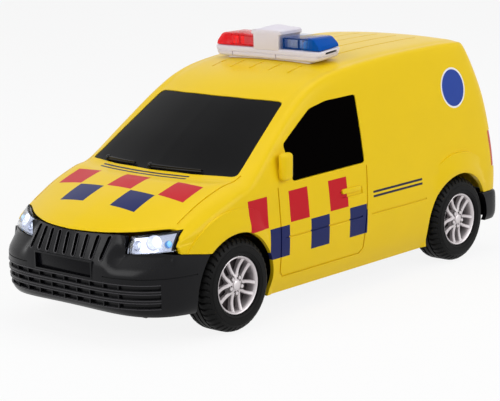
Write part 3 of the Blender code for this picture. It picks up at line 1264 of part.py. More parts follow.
deck = box(STEER_X - 8.0, STEER_X + 5.0, -STEER_DECK_HALF, STEER_DECK_HALF, DECK_Z, STEER_BASE)
post = rod("z", STEER_SPOT, POST_R, STEER_BASE - 0.6, ROD_HIGH + 1.2, 12)
join(steer_motor, cutter("steer_deck", deck), cutter("steer_post", post))
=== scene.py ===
"""Looks of the remote-control toy van: finer shells, trim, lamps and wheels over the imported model."""

import functools
import json
import math

import bmesh
import bpy
from mathutils import Matrix, Vector


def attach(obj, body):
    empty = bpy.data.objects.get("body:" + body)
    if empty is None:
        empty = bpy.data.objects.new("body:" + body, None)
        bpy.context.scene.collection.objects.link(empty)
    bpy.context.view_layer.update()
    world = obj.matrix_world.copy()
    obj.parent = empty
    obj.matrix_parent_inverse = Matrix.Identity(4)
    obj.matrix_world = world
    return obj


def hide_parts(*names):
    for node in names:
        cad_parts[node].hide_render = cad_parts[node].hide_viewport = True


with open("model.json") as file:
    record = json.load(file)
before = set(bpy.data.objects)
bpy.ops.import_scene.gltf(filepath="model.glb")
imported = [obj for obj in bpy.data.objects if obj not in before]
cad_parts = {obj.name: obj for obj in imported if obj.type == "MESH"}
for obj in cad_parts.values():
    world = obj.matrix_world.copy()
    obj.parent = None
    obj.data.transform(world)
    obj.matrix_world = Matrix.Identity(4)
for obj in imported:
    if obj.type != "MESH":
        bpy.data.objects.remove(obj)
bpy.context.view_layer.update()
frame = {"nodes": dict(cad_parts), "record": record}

MM = 0.001
GAP = 0.3
SIDES = (("left", 1), ("right", -1))


def steps(low, high, count):
    return [low + (high - low) * k / count for k in range(count + 1)]


def share(value, low, high):
    """How far a value is on its way from low to high, held between 0 and 1."""
    return min(max((value - low) / (high - low), 0.0), 1.0)


# Looks: materials made of shader nodes on Object coordinates.
def node(tree, kind, **inputs):
    """A shader node with its inputs set to values or joined to other sockets."""
    made = tree.nodes.new(kind)
    for name, value in inputs.items():
        plug(tree, made.inputs[name], value)
    return made


def plug(tree, socket, value):
    if isinstance(value, bpy.types.NodeSocket):
        tree.links.new(value, socket)
    else:
        socket.default_value = value


def maths(tree, operation, first, second=0.0):
    made = tree.nodes.new("ShaderNodeMath")
    made.operation = operation
    plug(tree, made.inputs[0], first)
    plug(tree, made.inputs[1], second)
    return made.outputs[0]


def blend(tree, factor, low, high):
    made = tree.nodes.new("ShaderNodeMix")
    made.data_type = "RGBA"
    plug(tree, made.inputs["Factor"], factor)
    plug(tree, made.inputs["A"], low)
    plug(tree, made.inputs["B"], high)
    return made.outputs["Result"]


def coordinates(tree):
    place = tree.nodes.new("ShaderNodeTexCoord").outputs["Object"]
    return node(tree, "ShaderNodeSeparateXYZ", Vector=place).outputs


FINE_SCALE = 1800.0
GRAIN_INPUTS = ("Color", "Shade", "Roughness", "Spread", "Scale")
GRAIN_OUTPUTS = ("Color", "Roughness", "Height")


def grain_group():
    """Uneven colour and gloss with a fine skin texture, as on moulded and plated toys."""
    group = bpy.data.node_groups.new("surface_grain", "ShaderNodeTree")
    for way, labels in (("INPUT", GRAIN_INPUTS), ("OUTPUT", GRAIN_OUTPUTS)):
        for label in labels:
            kind = "NodeSocketColor" if label == "Color" else "NodeSocketFloat"
            group.interface.new_socket(label, in_out=way, socket_type=kind)
    start = group.nodes.new("NodeGroupInput").outputs
    end = group.nodes.new("NodeGroupOutput").inputs
    place = group.nodes.new("ShaderNodeTexCoord").outputs["Object"]
    broad = node(group, "ShaderNodeTexNoise", Vector=place, Scale=start["Scale"], Detail=3.0)
    fine = node(group, "ShaderNodeTexNoise", Vector=place, Scale=FINE_SCALE, Detail=2.0)
    swing = maths(group, "SUBTRACT", broad.outputs[0], 0.5)
    level = maths(group, "MULTIPLY_ADD", swing, start["Shade"])
    level.node.inputs[2].default_value = 1.0
    tint = node(group, "ShaderNodeHueSaturation", Color=start["Color"], Value=level)
    plug(group, end["Color"], tint.outputs["Color"])
    gloss = maths(group, "MULTIPLY", swing, start["Spread"])
    plug(group, end["Roughness"], maths(group, "ADD", gloss, start["Roughness"]))
    plug(group, end["Height"], fine.outputs[0])
    return group


GRAIN = grain_group()
GRAIN_DEPTH = 0.2 * MM
LOOKS = {}


def finish(name, colour, roughness, shade, spread, scale, bump, shine=None, paint=None, **shader_values):
    """A look whose colour, gloss and skin come from the grain group; paint may repaint the base colour."""
    material = bpy.data.materials.new(name)
    material.use_nodes = True
    tree = material.node_tree
    shader = tree.nodes["Principled BSDF"]
    base = paint(tree, colour) if paint else (*colour, 1.0)
    grain = tree.nodes.new("ShaderNodeGroup")
    grain.node_tree = GRAIN
    for label, value in zip(GRAIN_INPUTS, (base, shade, roughness, spread, scale)):
        plug(tree, grain.inputs[label], value)
    tint, gloss, height = grain.outputs
    uneven = node(tree, "ShaderNodeBump", Strength=bump, Distance=GRAIN_DEPTH, Height=height)
    plug(tree, shader.inputs["Base Color"], tint)
    plug(tree, shader.inputs["Roughness"], gloss)
    plug(tree, shader.inputs["Normal"], uneven.outputs["Normal"])
    if shine is not None:
        shader.inputs["Specular IOR Level"].default_value = shine
    for label, value in shader_values.items():
        shader.inputs[label.replace("_", " ")].default_value = value
    LOOKS[name] = material
    return material


LENS_CLEAR_Y = 20.0 * MM
LENS_FULL_Y = 30.0 * MM


def deepened(material, low, high):
    """A clear moulding that lets less through towards its outer end."""
    tree = material.node_tree
    ramp = node(tree, "ShaderNodeMapRange", Value=maths(tree, "ABSOLUTE", coordinates(tree)[1]))
    ends = {"From Min": LENS_CLEAR_Y, "From Max": LENS_FULL_Y, "To Min": low, "To Max": high}
    for label, value in ends.items():
        ramp.inputs[label].default_value = value
    plug(tree, tree.nodes["Principled BSDF"].inputs["Alpha"], ramp.outputs[0])


def between(tree, value, low, high):
    above = maths(tree, "GREATER_THAN", value, low)
    return maths(tree, "MULTIPLY", above, maths(tree, "LESS_THAN", value, high))


def both(tree, *masks):
    whole = masks[0]
    for mask in masks[1:]:
        whole = maths(tree, "MULTIPLY", whole, mask)
    return whole


# The livery: a plain design of its own, kept to the faces that are marked as outer ones.
OUTER = "outer_face"
RED_INK = (0.52, 0.006, 0.014, 1.0)
BLUE_INK = (0.010, 0.016, 0.10, 1.0)
WHITE_INK = (0.80, 0.80, 0.80, 1.0)
BADGE_BLUE = (0.017, 0.053, 0.305, 1.0)
DARK_INK = (0.02, 0.02, 0.045, 1.0)
CHECK_EDGE = 0.03
DOOR_CELL = (14.0 * MM, 15.0 * MM)
DOOR_FIRST = (-17.0 * MM, 27.4 * MM)
DOOR_CHECKS = 7
BONNET_CELL = (16.0 * MM, 14.0 * MM)
BONNET_FIRST = (-40.0 * MM, 78.0 * MM)
BONNET_CHECKS = 5
SIDE_Y = 43.0 * MM
TOP_Z = 50.0 * MM
BADGE = (-93.8 * MM, 86.8 * MM)
BADGE_RADIUS = 10.0 * MM
BADGE_INNER = 9.1 * MM
LINE_WIDTH = 1.1 * MM
SIDE_LINES = (43.9 * MM, 46.0 * MM)
SIDE_LINE_ENDS = (-60.0 * MM, -21.5 * MM)
BONNET_LINES = (72.6 * MM, 74.7 * MM)
BONNET_LINE_ENDS = (-32.0 * MM, 24.0 * MM)
BONNET_BOW = 3.4


def checks(tree, across, along, cell, first, count):
    """Which checks of a two-row band are painted, and a mask for its second row; first gives the corner."""
    u = maths(tree, "DIVIDE", maths(tree, "SUBTRACT", across, first[0]), cell[0])
    v = maths(tree, "DIVIDE", maths(tree, "SUBTRACT", along, first[1]), cell[1])
    sum_cells = maths(tree, "ADD", maths(tree, "FLOOR", u), maths(tree, "FLOOR", v))
    even = maths(tree, "LESS_THAN", maths(tree, "FLOORED_MODULO", sum_cells, 2.0), 0.5)
    inner = [between(tree, maths(tree, "FRACT", w), CHECK_EDGE, 1.0 - CHECK_EDGE) for w in (u, v)]
    reach_across = between(tree, across, first[0], first[0] + count * cell[0])
    reach_along = between(tree, along, first[1], first[1] + 2 * cell[1])
    return both(tree, even, *inner, reach_across, reach_along), maths(tree, "GREATER_THAN", v, 1.0)


def pinstripes(tree, value, starts):
    return maths(tree, "MAXIMUM", *[between(tree, value, low, low + LINE_WIDTH) for low in starts])


def livery(tree, colour):
    """Yellow with checked bands on doors and bonnet, a plain roundel behind, and pinstripes."""
    x, y, z = coordinates(tree)[:3]
    marked = tree.nodes.new("ShaderNodeAttribute")
    marked.attribute_name = OUTER
    outer = marked.outputs["Fac"]
    side = both(tree, outer, maths(tree, "GREATER_THAN", maths(tree, "ABSOLUTE", y), SIDE_Y))
    top = both(tree, outer, maths(tree, "GREATER_THAN", z, TOP_Z))
    painted, upper = checks(tree, x, z, DOOR_CELL, DOOR_FIRST, DOOR_CHECKS)
    shade = blend(tree, both(tree, side, painted), (*colour, 1.0), blend(tree, upper, BLUE_INK, RED_INK))
    painted, rear = checks(tree, y, x, BONNET_CELL, BONNET_FIRST, BONNET_CHECKS)
    shade = blend(tree, both(tree, top, painted), shade, blend(tree, rear, RED_INK, BLUE_INK))
    over = maths(tree, "POWER", maths(tree, "SUBTRACT", x, BADGE[0]), 2.0)
    up = maths(tree, "POWER", maths(tree, "SUBTRACT", z, BADGE[1]), 2.0)
    away = maths(tree, "SQRT", maths(tree, "ADD", over, up))
    for radius, ink in ((BADGE_RADIUS, WHITE_INK), (BADGE_INNER, BADGE_BLUE)):
        shade = blend(tree, both(tree, side, maths(tree, "LESS_THAN", away, radius)), shade, ink)
    lines = both(tree, side, pinstripes(tree, z, SIDE_LINES), between(tree, x, *SIDE_LINE_ENDS))
    bow = maths(tree, "MULTIPLY", maths(tree, "POWER", y, 2.0), BONNET_BOW)
    bowed = pinstripes(tree, maths(tree, "ADD", x, bow), BONNET_LINES)
    bonnet = both(tree, top, bowed, between(tree, y, *BONNET_LINE_ENDS))
    return blend(tree, maths(tree, "MAXIMUM", lines, bonnet), shade, DARK_INK)


# Each row: name, colour, roughness, the grain's shade, spread, scale and bump, and the shine where it is set.
YELLOW = ((0.80, 0.545, 0.006), 0.30, 0.05, 0.08, 60.0, 0.03, 0.13)
finish("yellow_plastic", *YELLOW, paint=livery)
for row in (
    ("yellow_trim", *YELLOW),
    ("side_glazing", (0.0015, 0.0012, 0.0012), 0.30, 0.10, 0.10, 40.0, 0.02, 0.0),
    ("dark_glazing", (0.003, 0.003, 0.0035), 0.34, 0.10, 0.10, 40.0, 0.02, 0.05),
    ("black_plastic", (0.003, 0.003, 0.004), 0.28, 0.20, 0.12, 70.0, 0.05, 0.18),
    # A lighter black for raised lips and rims: a painted highlight where their edges catch light.
    ("painted_sheen_black", (0.040, 0.038, 0.042), 0.30, 0.15, 0.10, 90.0, 0.03, 0.3),
    ("plate_gloss", (0.002, 0.002, 0.003), 0.20, 0.15, 0.10, 70.0, 0.02, 0.10),
    ("tail_lens", (0.50, 0.045, 0.012), 0.16, 0.08, 0.05, 120.0, 0.02, 0.2),
    ("white_plastic", (0.71, 0.67, 0.735), 0.36, 0.04, 0.08, 80.0, 0.03, 0.3),
    ("deep_blue", (0.0, 0.012, 0.075), 0.20, 0.10, 0.08, 120.0, 0.01, 0.2),
    ("deep_red", (0.20, 0.0, 0.004), 0.20, 0.10, 0.08, 120.0, 0.01, 0.2),
    ("tyre_rubber", (0.003, 0.003, 0.003), 0.55, 0.30, 0.15, 160.0, 0.20, 0.12),
    # The rim backing's dark colour is painted shade: the silver dish behind the spokes, seen as if in shadow.
    ("rim_backing_painted_shade", (0.035, 0.028, 0.030), 0.6, 0.12, 0.10, 200.0, 0.05, 0.15),
    ("circuit_green", (0.02, 0.16, 0.06), 0.45, 0.20, 0.10, 300.0, 0.05),
    ("grey_plastic", (0.035, 0.035, 0.038), 0.50, 0.15, 0.12, 120.0, 0.10),
    ("nylon", (0.74, 0.72, 0.66), 0.48, 0.06, 0.08, 140.0, 0.05),
):
    finish(*row)
for metal, *row in (
    (1.0, "lamp_chrome", (0.58, 0.60, 0.70), 0.16, 0.06, 0.05, 200.0, 0.01),
    (0.85, "silver_plating", (0.64, 0.60, 0.61), 0.50, 0.08, 0.12, 150.0, 0.03),
    (0.7, "dull_silver", (0.10, 0.09, 0.09), 0.45, 0.10, 0.12, 200.0, 0.04),
    (0.7, "cell_jacket", (0.45, 0.22, 0.08), 0.32, 0.12, 0.10, 90.0, 0.02),
    (1.0, "steel", (0.52, 0.52, 0.54), 0.30, 0.10, 0.15, 220.0, 0.04),
    (0.3, "bar_reflector", (0.75, 0.76, 0.80), 0.30, 0.10, 0.10, 160.0, 0.03),
):
    finish(*row, Metallic=metal)
for name, colour, roughness, shade, light, strength in (
    ("blue_bulb", (0.22, 0.55, 0.90), 0.15, 0.10, (0.20, 0.55, 1.0), 0.5),
    ("red_bulb", (0.90, 0.08, 0.06), 0.15, 0.10, (1.0, 0.05, 0.04), 0.7),
    ("pale_lamp", (0.90, 0.93, 1.0), 0.20, 0.04, (0.80, 0.88, 1.0), 0.35),
    ("lit_lamp", (0.95, 0.97, 1.0), 0.20, 0.04, (0.95, 0.95, 0.90), 1.0),
):
    glow = {"Emission_Color": (*light, 1.0), "Emission_Strength": strength}
    finish(name, colour, roughness, shade, 0.05, 300.0, 0.01, **glow)
finish("clear_lens", (0.92, 0.95, 1.0), 0.04, 0.02, 0.03, 200.0, 0.01, Transmission_Weight=1.0, IOR=1.3)
deepened(finish("blue_lens", (0.0, 0.075, 0.38), 0.12, 0.05, 0.05, 120.0, 0.01, 0.06), 0.22, 1.0)
deepened(finish("red_lens", (0.92, 0.003, 0.010), 0.10, 0.05, 0.05, 120.0, 0.01, 0.3), 0.42, 0.85)

SLOTS = set()
for row in frame["record"]["subparts"]:
    shown = frame["nodes"][row["node"]]
    slot = row["material_slot"]
    SLOTS.add(slot)
    shown.data.materials.clear()
    shown.data.materials.append(LOOKS[slot])
    shown.data.shade_smooth()
    shown.data.set_sharp_from_angle(angle=math.radians(28.0))


# Shapes are made in millimetres and turned into metres when a piece is finished.
def linked(name, data):
    obj = bpy.data.objects.new(name, data)
    bpy.context.scene.collection.objects.link(obj)
    return obj


def as_mesh(name, bm):
    mesh = bpy.data.meshes.new(name)
    bm.to_mesh(mesh)
    bm.free()
    return mesh


def outward(bm):
    bmesh.ops.recalc_face_normals(bm, faces=bm.faces)
    return bm


def moved(bm, x, y, z):
    bmesh.ops.translate(bm, verts=bm.verts, vec=(x, y, z))
    return bm


def gathered(*shapes):
    """Several closed shapes as one mesh."""
    whole = outward(shapes[0])
    for shape in shapes[1:]:
        spare = as_mesh("spare", outward(shape))
        whole.from_mesh(spare)
        bpy.data.meshes.remove(spare)
    return whole


def carved(bm, *changes):
    """The shape after unions, cuts and trims in turn; each change is an operation and a shape."""
    obj = linked("blank", as_mesh("blank", outward(bm)))
    tools = []
    for operation, shape in changes:
        tool = linked("tool", as_mesh("tool", outward(shape)))
        change = obj.modifiers.new("step", "BOOLEAN")
        change.operation = operation
        change.object = tool
        change.solver = "EXACT"
        tools.append(tool)
    bpy.context.view_layer.update()
    seen = obj.evaluated_get(bpy.context.evaluated_depsgraph_get())
    whole = bmesh.new()
    whole.from_mesh(seen.data)
    for item in tools + [obj]:
        spare = item.data
        bpy.data.objects.remove(item)
        bpy.data.meshes.remove(spare)
    return whole


def less(*shapes):
    """Cuts for a shape that is carved."""
    return [("DIFFERENCE", shape) for shape in shapes]


def piece(name, bm, look, stands_for="", body="vehicle", smooth=32.0):
    """A finished piece on a body; the imported part it stands for is hidden."""
    bmesh.ops.scale(outward(bm), verts=bm.verts, vec=(MM, MM, MM))
    mesh = as_mesh(name, bm)
    mesh.materials.append(LOOKS[look])
    mesh.shade_smooth()
    mesh.set_sharp_from_angle(angle=math.radians(smooth))
    obj = linked(name, mesh)
    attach(obj, body)
    if stands_for:
        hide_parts(stands_for)


def box(x0, x1, y0, y1, z0, z1, edge=0.0, segments=2):
    bm = bmesh.new()
    middle = Vector(((x0 + x1) / 2, (y0 + y1) / 2, (z0 + z1) / 2))
    size = Matrix.Diagonal((x1 - x0, y1 - y0, z1 - z0, 1.0))
    bmesh.ops.create_cube(bm, size=1.0, matrix=Matrix.Translation(middle) @ size)
    return softened(bm, edge, segments)


def softened(bm, edge, segments=2, angle=25.0):
    """The shape with its sharp edges rounded."""
    if edge:
        bm.normal_update()
        least = math.radians(angle)
        sharp = [e for e in bm.edges if len(e.link_faces) == 2 and e.calc_face_angle() > least]
        bmesh.ops.bevel(
            bm, geom=sharp, offset=edge, segments=segments, profile=0.5, affect="EDGES", material=-1,
        )
    return bm


def placed(pair, axis, value):
    """A point from its value along an axis and its two other coordinates."""
    spot = list(pair)
    spot.insert("xyz".index(axis), value)
    return spot


AXIS_TURN = {
    "x": Matrix.Rotation(math.pi / 2, 4, "Y"),
    "y": Matrix.Rotation(-math.pi / 2, 4, "X"),
    "z": Matrix.Identity(4),
}


def set_on_axis(bm, axis, centre):
    """A shape drawn about the Z axis, moved to another axis through a centre."""
    bmesh.ops.transform(bm, verts=bm.verts, matrix=AXIS_TURN[axis])
    return moved(bm, *placed(centre, axis, 0.0))


def rod(axis, centre, radius, low, high, sides):
    bm = bmesh.new()
    bmesh.ops.create_cone(
        bm, cap_ends=True, segments=sides, radius1=radius, radius2=radius, depth=high - low,
    )
    return set_on_axis(moved(bm, 0.0, 0.0, (high + low) / 2), axis, centre)


def prism(outline, axis, low, high):
    bm = bmesh.new()
    corners = [bm.verts.new(placed(pair, axis, low)) for pair in outline]
    grown = bmesh.ops.extrude_face_region(bm, geom=[bm.faces.new(corners)])["geom"]
    far = [g for g in grown if isinstance(g, bmesh.types.BMVert)]
    bmesh.ops.translate(bm, verts=far, vec=placed((0.0, 0.0), axis, high - low))
    return bm


WELD = 0.0005


def turned(profile, axis, centre, sides, closed=True):
    """A profile of (along, radius) pairs turned round an axis."""
    bm = bmesh.new()
    corners = [bm.verts.new((radius, 0.0, along)) for along, radius in profile]
    ends = corners[1:] + corners[:1] if closed else corners[1:]
    edges = [bm.edges.new((a, b)) for a, b in zip(corners, ends)]
    bmesh.ops.spin(
        bm, geom=corners + edges, cent=(0, 0, 0), axis=(0, 0, 1), angle=math.tau, steps=sides, use_merge=True,
    )
    bmesh.ops.remove_doubles(bm, verts=bm.verts, dist=WELD)
    return set_on_axis(bm, axis, centre)


def whole_cap(bm, ring):
    bm.faces.new(ring)


def strip_cap(bm, ring):
    """An end face as a strip between the halves of its ring, with a triangle at the middle of an odd one."""
    count = len(ring)
    half = count // 2
    for k in range(half - 1):
        bm.faces.new((ring[k], ring[k + 1], ring[count - 2 - k], ring[count - 1 - k]))
    if count % 2:
        bm.faces.new(ring[half - 1:half + 2])


def skin(rows, first_cap=whole_cap, last_cap=whole_cap):
    """Faces between rings of points, and over the first and the last ring where they have caps."""
    bm = bmesh.new()
    grid = [[bm.verts.new(p) for p in row] for row in rows]
    count = len(grid[0])
    for front, rear in zip(grid, grid[1:]):
        for k in range(count):
            n = (k + 1) % count
            bm.faces.new((front[k], front[n], rear[n], rear[k]))
    for cap, ring in ((first_cap, grid[0]), (last_cap, grid[-1])):
        if cap:
            cap(bm, ring)
    return bm


def faceted(bm):
    bm.normal_update()
    bmesh.ops.triangulate(bm, faces=bm.faces, ngon_method="EAR_CLIP")
    return bm


def sided(bm, side):
    if side < 0:
        bmesh.ops.scale(bm, verts=bm.verts, vec=(1.0, -1.0, 1.0))
        bmesh.ops.reverse_faces(bm, faces=bm.faces)
    return bm


def each_side(make):
    return gathered(*[sided(make(), side) for _, side in SIDES])


def ball(centre, radius, reach=1.0):
    bm = bmesh.new()
    bmesh.ops.create_uvsphere(bm, u_segments=32, v_segments=20, radius=radius)
    bmesh.ops.scale(bm, verts=bm.verts, vec=(reach, 1.0, 1.0))
    return moved(bm, *centre)


def outline_offset(outline, out):
    shifted = []
    area = sum(a[0] * b[1] - b[0] * a[1] for a, b in zip(outline, outline[1:] + outline[:1]))
    turn = 1.0 if area > 0 else -1.0
    for k, here in enumerate(outline):
        here = Vector(here)
        rear = (here - Vector(outline[k - 1])).normalized()
        ahead = (Vector(outline[(k + 1) % len(outline)]) - here).normalized()
        n_rear = Vector((rear.y, -rear.x)) * turn
        half = (n_rear + Vector((ahead.y, -ahead.x)) * turn).normalized()
        shifted.append(tuple(here + half * out / max(half.dot(n_rear), 0.3)))
    return shifted


def rounded(outline, radius, parts=6):
    """An outline whose corners are curves."""
    smooth = []
    for k, here in enumerate(outline):
        here = Vector(here)
        a = Vector(outline[k - 1]) - here
        b = Vector(outline[(k + 1) % len(outline)]) - here
        reach = min(radius, a.length * 0.45, b.length * 0.45)
        p = here + a.normalized() * reach
        q = here + b.normalized() * reach
        for t in steps(0.0, 1.0, parts):
            smooth.append(tuple((1 - t) ** 2 * p + 2 * t * (1 - t) * here + t**2 * q))
    return smooth


# The body surface: sections from the nose to the tail joined by smooth curves.
# Each section: x, sweep at the sides, crown height, y and z of the roof or bonnet edge, of the rail and of
# the belt, narrowing of the lower side, lean of the tail, lead of the cheek.
STATIONS = (
    (121.9, 21.7, 48.2, 45.5, 50.4, 49.0, 47.7, 50.6, 44.2, 0.942, 0.0, 7.4),
    (120.2, 21.1, 49.6, 45.5, 51.4, 49.5, 48.6, 51.1, 44.6, 0.949, 0.0, 6.9),
    (113.0, 19.0, 53.8, 45.5, 54.6, 51.1, 51.8, 53.2, 45.6, 0.980, 0.0, 4.4),
    (100.0, 15.5, 59.2, 45.8, 59.6, 52.6, 56.2, 54.8, 47.4, 1.0, 0.0, 1.6),
    (84.0, 11.5, 63.8, 45.9, 64.0, 53.0, 60.6, 54.8, 50.6, 1.0, 0.0, 0.0),
    (70.5, 8.5, 66.6, 45.6, 66.6, 52.0, 64.0, 54.4, 55.0, 1.0, 0.0, 0.0),
    (48.0, 6.0, 81.6, 41.8, 79.9, 48.6, 78.0, 53.5, 59.8, 1.0, 0.0, 0.0),
    (26.0, 4.0, 95.4, 38.2, 93.4, 45.9, 91.4, 53.0, 60.7, 1.0, 0.0, 0.0),
    (9.0, 2.0, 102.8, 38.2, 101.1, 45.3, 98.2, 53.0, 60.8, 1.0, 0.0, 0.0),
    (-11.0, 1.0, 107.0, 38.5, 105.3, 45.2, 102.0, 53.0, 61.0, 1.0, 0.0, 0.0),
    (-45.0, 0.0, 110.0, 39.2, 108.0, 45.0, 104.2, 53.0, 61.0, 1.0, 0.0, 0.0),
    (-86.0, 0.0, 110.9, 39.6, 109.0, 45.0, 105.2, 52.8, 61.0, 1.0, 3.0, 0.0),
    (-106.0, 0.5, 110.2, 39.4, 108.4, 44.4, 104.8, 52.2, 61.0, 0.992, 8.6, 0.0),
    (-110.4, 1.0, 108.6, 38.0, 106.8, 42.8, 103.4, 51.0, 61.0, 0.970, 11.2, 0.0),
)
LAST = len(STATIONS) - 1
SILL_Z = 10.9
LOWER_SIDE = ((54.5, 48.0), (55.0, 36.5), (53.6, 21.0), (50.3, SILL_Z))
SWEEP_HALF = 50.0
CROWN_CURVE = 2.4
BELT_STEP = 1.5
SIDE_SWELL = 0.7
TAIL_TOP = 107.0
TAIL_FALL = 60.0
CHEEK_FALL = 6.0
FRONT_AXLE_X = 74.5
REAR_AXLE_X = -90.5
ARCH_R = 24.7
ARCH_Z = 20.0
OUTSIDE = 70.0


@functools.lru_cache(None)
def half_section(index, inset):
    x, sweep, top, edge_y, edge_z, rail_y, rail_z, belt_y, belt_z, narrow, tail, cheek = STATIONS[index]
    flat = [(edge_y * t, top - (top - edge_z) * t**CROWN_CURVE) for t in (0.0, 0.36, 0.7, 1.0)]
    flat += [(rail_y, rail_z), ((rail_y + belt_y) / 2 + SIDE_SWELL, (rail_z + belt_z) / 2), (belt_y, belt_z)]
    for y, z in LOWER_SIDE:
        flat.append((y * narrow, min(z, belt_z - BELT_STEP) if z > 40.0 else z))
    points = []
    for k, (y, z) in enumerate(flat):
        before = flat[max(k - 1, 0)]
        after = flat[min(k + 1, len(flat) - 1)]
        along = Vector((after[0] - before[0], after[1] - before[1]))
        normal = Vector((-along.y, along.x)).normalized() if k else Vector((0.0, 1.0))
        trail = tail * (1.0 - (1.0 - share(TAIL_TOP - z, 0.0, TAIL_FALL)) ** 2.5)
        lead = cheek * share(edge_z - z, 0.0, CHEEK_FALL) if k > 3 else 0.0
        spot_x = x - sweep * (y / SWEEP_HALF) ** 2 - trail + lead
        spot_x += inset if index == LAST else -inset if index == 0 else 0.0
        points.append(Vector((spot_x, y - normal.x * inset, z - normal.y * inset)))
    return points


def through(a, b, c, d, t):
    """A point of the smooth curve from b to c that a and d lead into."""
    return 0.5 * (2 * b + (c - a) * t + (2 * a - 5 * b + 4 * c - d) * t**2 + (3 * b - a - 3 * c + d) * t**3)


def near(points, k):
    """The four points about the span from k to the next; an end point stands in for those past it."""
    return [points[min(max(n, 0), len(points) - 1)] for n in range(k - 1, k + 3)]


@functools.lru_cache(None)
def section_point(index, v, inset):
    points = half_section(index, inset)
    k = min(int(v), len(points) - 2)
    return through(*near(points, k), v - k)


def body_point(u, v, inset=0.0):
    """A point on the body; u counts sections and v runs from the crown to the sill, negative on the right."""
    k = min(int(u), LAST - 1)
    spot = through(*[section_point(n, abs(v), inset) for n in near(range(LAST + 1), k)], u - k)
    return spot if v >= 0 else Vector((spot.x, -spot.y, spot.z))


ACROSS = steps(0.0, 2.5, 10) + steps(2.5, 5.0, 25)[1:] + steps(5.0, 10.0, 30)[1:]
ACROSS_PLAIN = steps(0.0, 10.0, 40)


def body_solid(inset, per_span, across=ACROSS, open_reach=0.0):
    """The body filled in; with an open reach it runs out through the nose and below the sills."""
    rows = []
    for step in range(LAST * per_span + 1):
        half = [body_point(step / per_span, v, inset) for v in across]
        if open_reach:
            half.append(half[-1] - Vector((0.0, 0.0, open_reach)))
        rows.append([Vector((p.x, -p.y, p.z)) for p in reversed(half[1:])] + half)
    if open_reach:
        ahead = STATIONS[0][0] + open_reach
        rows.insert(0, [Vector((ahead, p.y, p.z)) for p in rows[0]])
    return faceted(skin(rows, whole_cap if open_reach else strip_cap, strip_cap))


PANE_INSET = 0.25
PANE_WALL = 1.3


def pane_sheet(us, vs):
    """A closed sheet a little inside the body surface."""
    outer = [[body_point(u, v, PANE_INSET) for v in vs] for u in us]
    inner = [[body_point(u, v, PANE_INSET + PANE_WALL) for v in vs] for u in us]
    rows = [a + list(reversed(b)) for a, b in zip(outer, inner)]
    return faceted(skin(rows, strip_cap, strip_cap))


# The shell's openings and grooves, and the panes, handles and tail lenses that sit in them.
SIDE_WINDOW = [(-17.4, 61.2), (34.6, 60.6), (37.0, 77.5), (15.5, 90.6), (4.0, 92.8), (-17.2, 93.2)]
SIDE_WINDOW = rounded(SIDE_WINDOW, 1.7)
REAR_WINDOW = rounded([(-33.0, 66.0), (33.0, 66.0), (30.0, 94.0), (-30.0, 94.0)], 4.0)
HANDLE = rounded([(-12.0, 49.3), (1.6, 49.3), (1.6, 51.5), (-12.0, 51.5)], 0.9)
HANDLE_OUT = 0.8
TAIL_LAMP = rounded([(-126.0, 43.4), (-119.9, 43.4), (-119.3, 61.8), (-126.0, 61.8)], 1.0)
LAMP_FACE = [(29.9, 34.0), (30.1, 47.1), (48.6, 50.0), (50.6, 34.0)]
NOSE_CUT = [(80.0, 0.0), (80.0, 37.0), (112.0, 41.6), (112.0, 47.7), (140.0, 47.7), (140.0, 0.0)]
CHEEK_EDGE = [(103.0, 49.9), (109.4, 40.0), (130.0, 40.0), (130.0, 49.9)]
TAIL_CUT = [(-140.0, 0.0), (-140.0, 31.3), (-109.6, 31.3), (-108.6, 14.0), (-108.6, 0.0)]
DOOR_SEAM = [(45.8, 59.4), (45.8, 20.6), (43.6, 18.4), (-12.2, 18.4), (-14.6, 20.6), (-18.8, 59.8)]
DOOR_SEAM += [(-18.0, 59.8), (-13.8, 21.0), (-11.9, 19.2), (43.3, 19.2), (45.0, 20.9), (45.0, 59.4)]
BONNET_SEAM = [(62.0, 46.4), (101.5, 45.2), (101.5, 46.0), (62.0, 47.2)]
SIDE_GROOVES = ((-63.0, -19.6, 36.1, 36.9), (-12.8, 42.0, 36.1, 36.9), (-13.6, 2.6, 47.4, 50.6))
ROOF_GROOVES = ((-7.4, 3.0), (-96.0, -29.0))
ROOF_PITCH = 12.0
ROOF_GROOVE_HALF = 0.4
GROOVE_DEPTH = 0.5
SHELL_WALL = 1.8
SCREEN_RISE = 28.0
SCREEN_RUN = 41.5
SCREEN_FOOT = Vector((63.2, 0.0, 65.5))
SCREEN_SLOPE = math.atan2(SCREEN_RISE, SCREEN_RUN)
SCREEN_ALONG = Vector((-math.cos(SCREEN_SLOPE), 0.0, math.sin(SCREEN_SLOPE)))
SCREEN_UP = Vector((math.sin(SCREEN_SLOPE), 0.0, math.cos(SCREEN_SLOPE)))


def screen_shape(out, reach):
    """The outline of the windscreen as a block through the shell."""
    length = math.hypot(SCREEN_RISE, SCREEN_RUN)
    half = [(0.0, -6.2), (24.0, -4.6), (45.6, -0.4)]
    half += [(38.4, length - 0.6), (20.0, length - 3.2), (0.0, length - 4.0)]
    flat = half + [(-y, up) for y, up in reversed(half[1:-1])]
    flat = outline_offset(rounded(flat, 3.0), out)
    rows = []
    for depth in (-reach, reach):
        base = SCREEN_FOOT + SCREEN_UP * depth
        rows.append([base + SCREEN_ALONG * up + Vector((0.0, y, 0.0)) for y, up in flat])
    return skin(rows)


FLARE_Y = 56.4
FLARE_ROOT = 44.0
FLARE_EDGE = ((FLARE_Y, 0.4), (56.35, 1.4), (56.0, 3.0), (55.2, 4.8), (54.3, 6.8), (53.4, 10.0))
FLARE_LEAN = math.radians(-9.0)


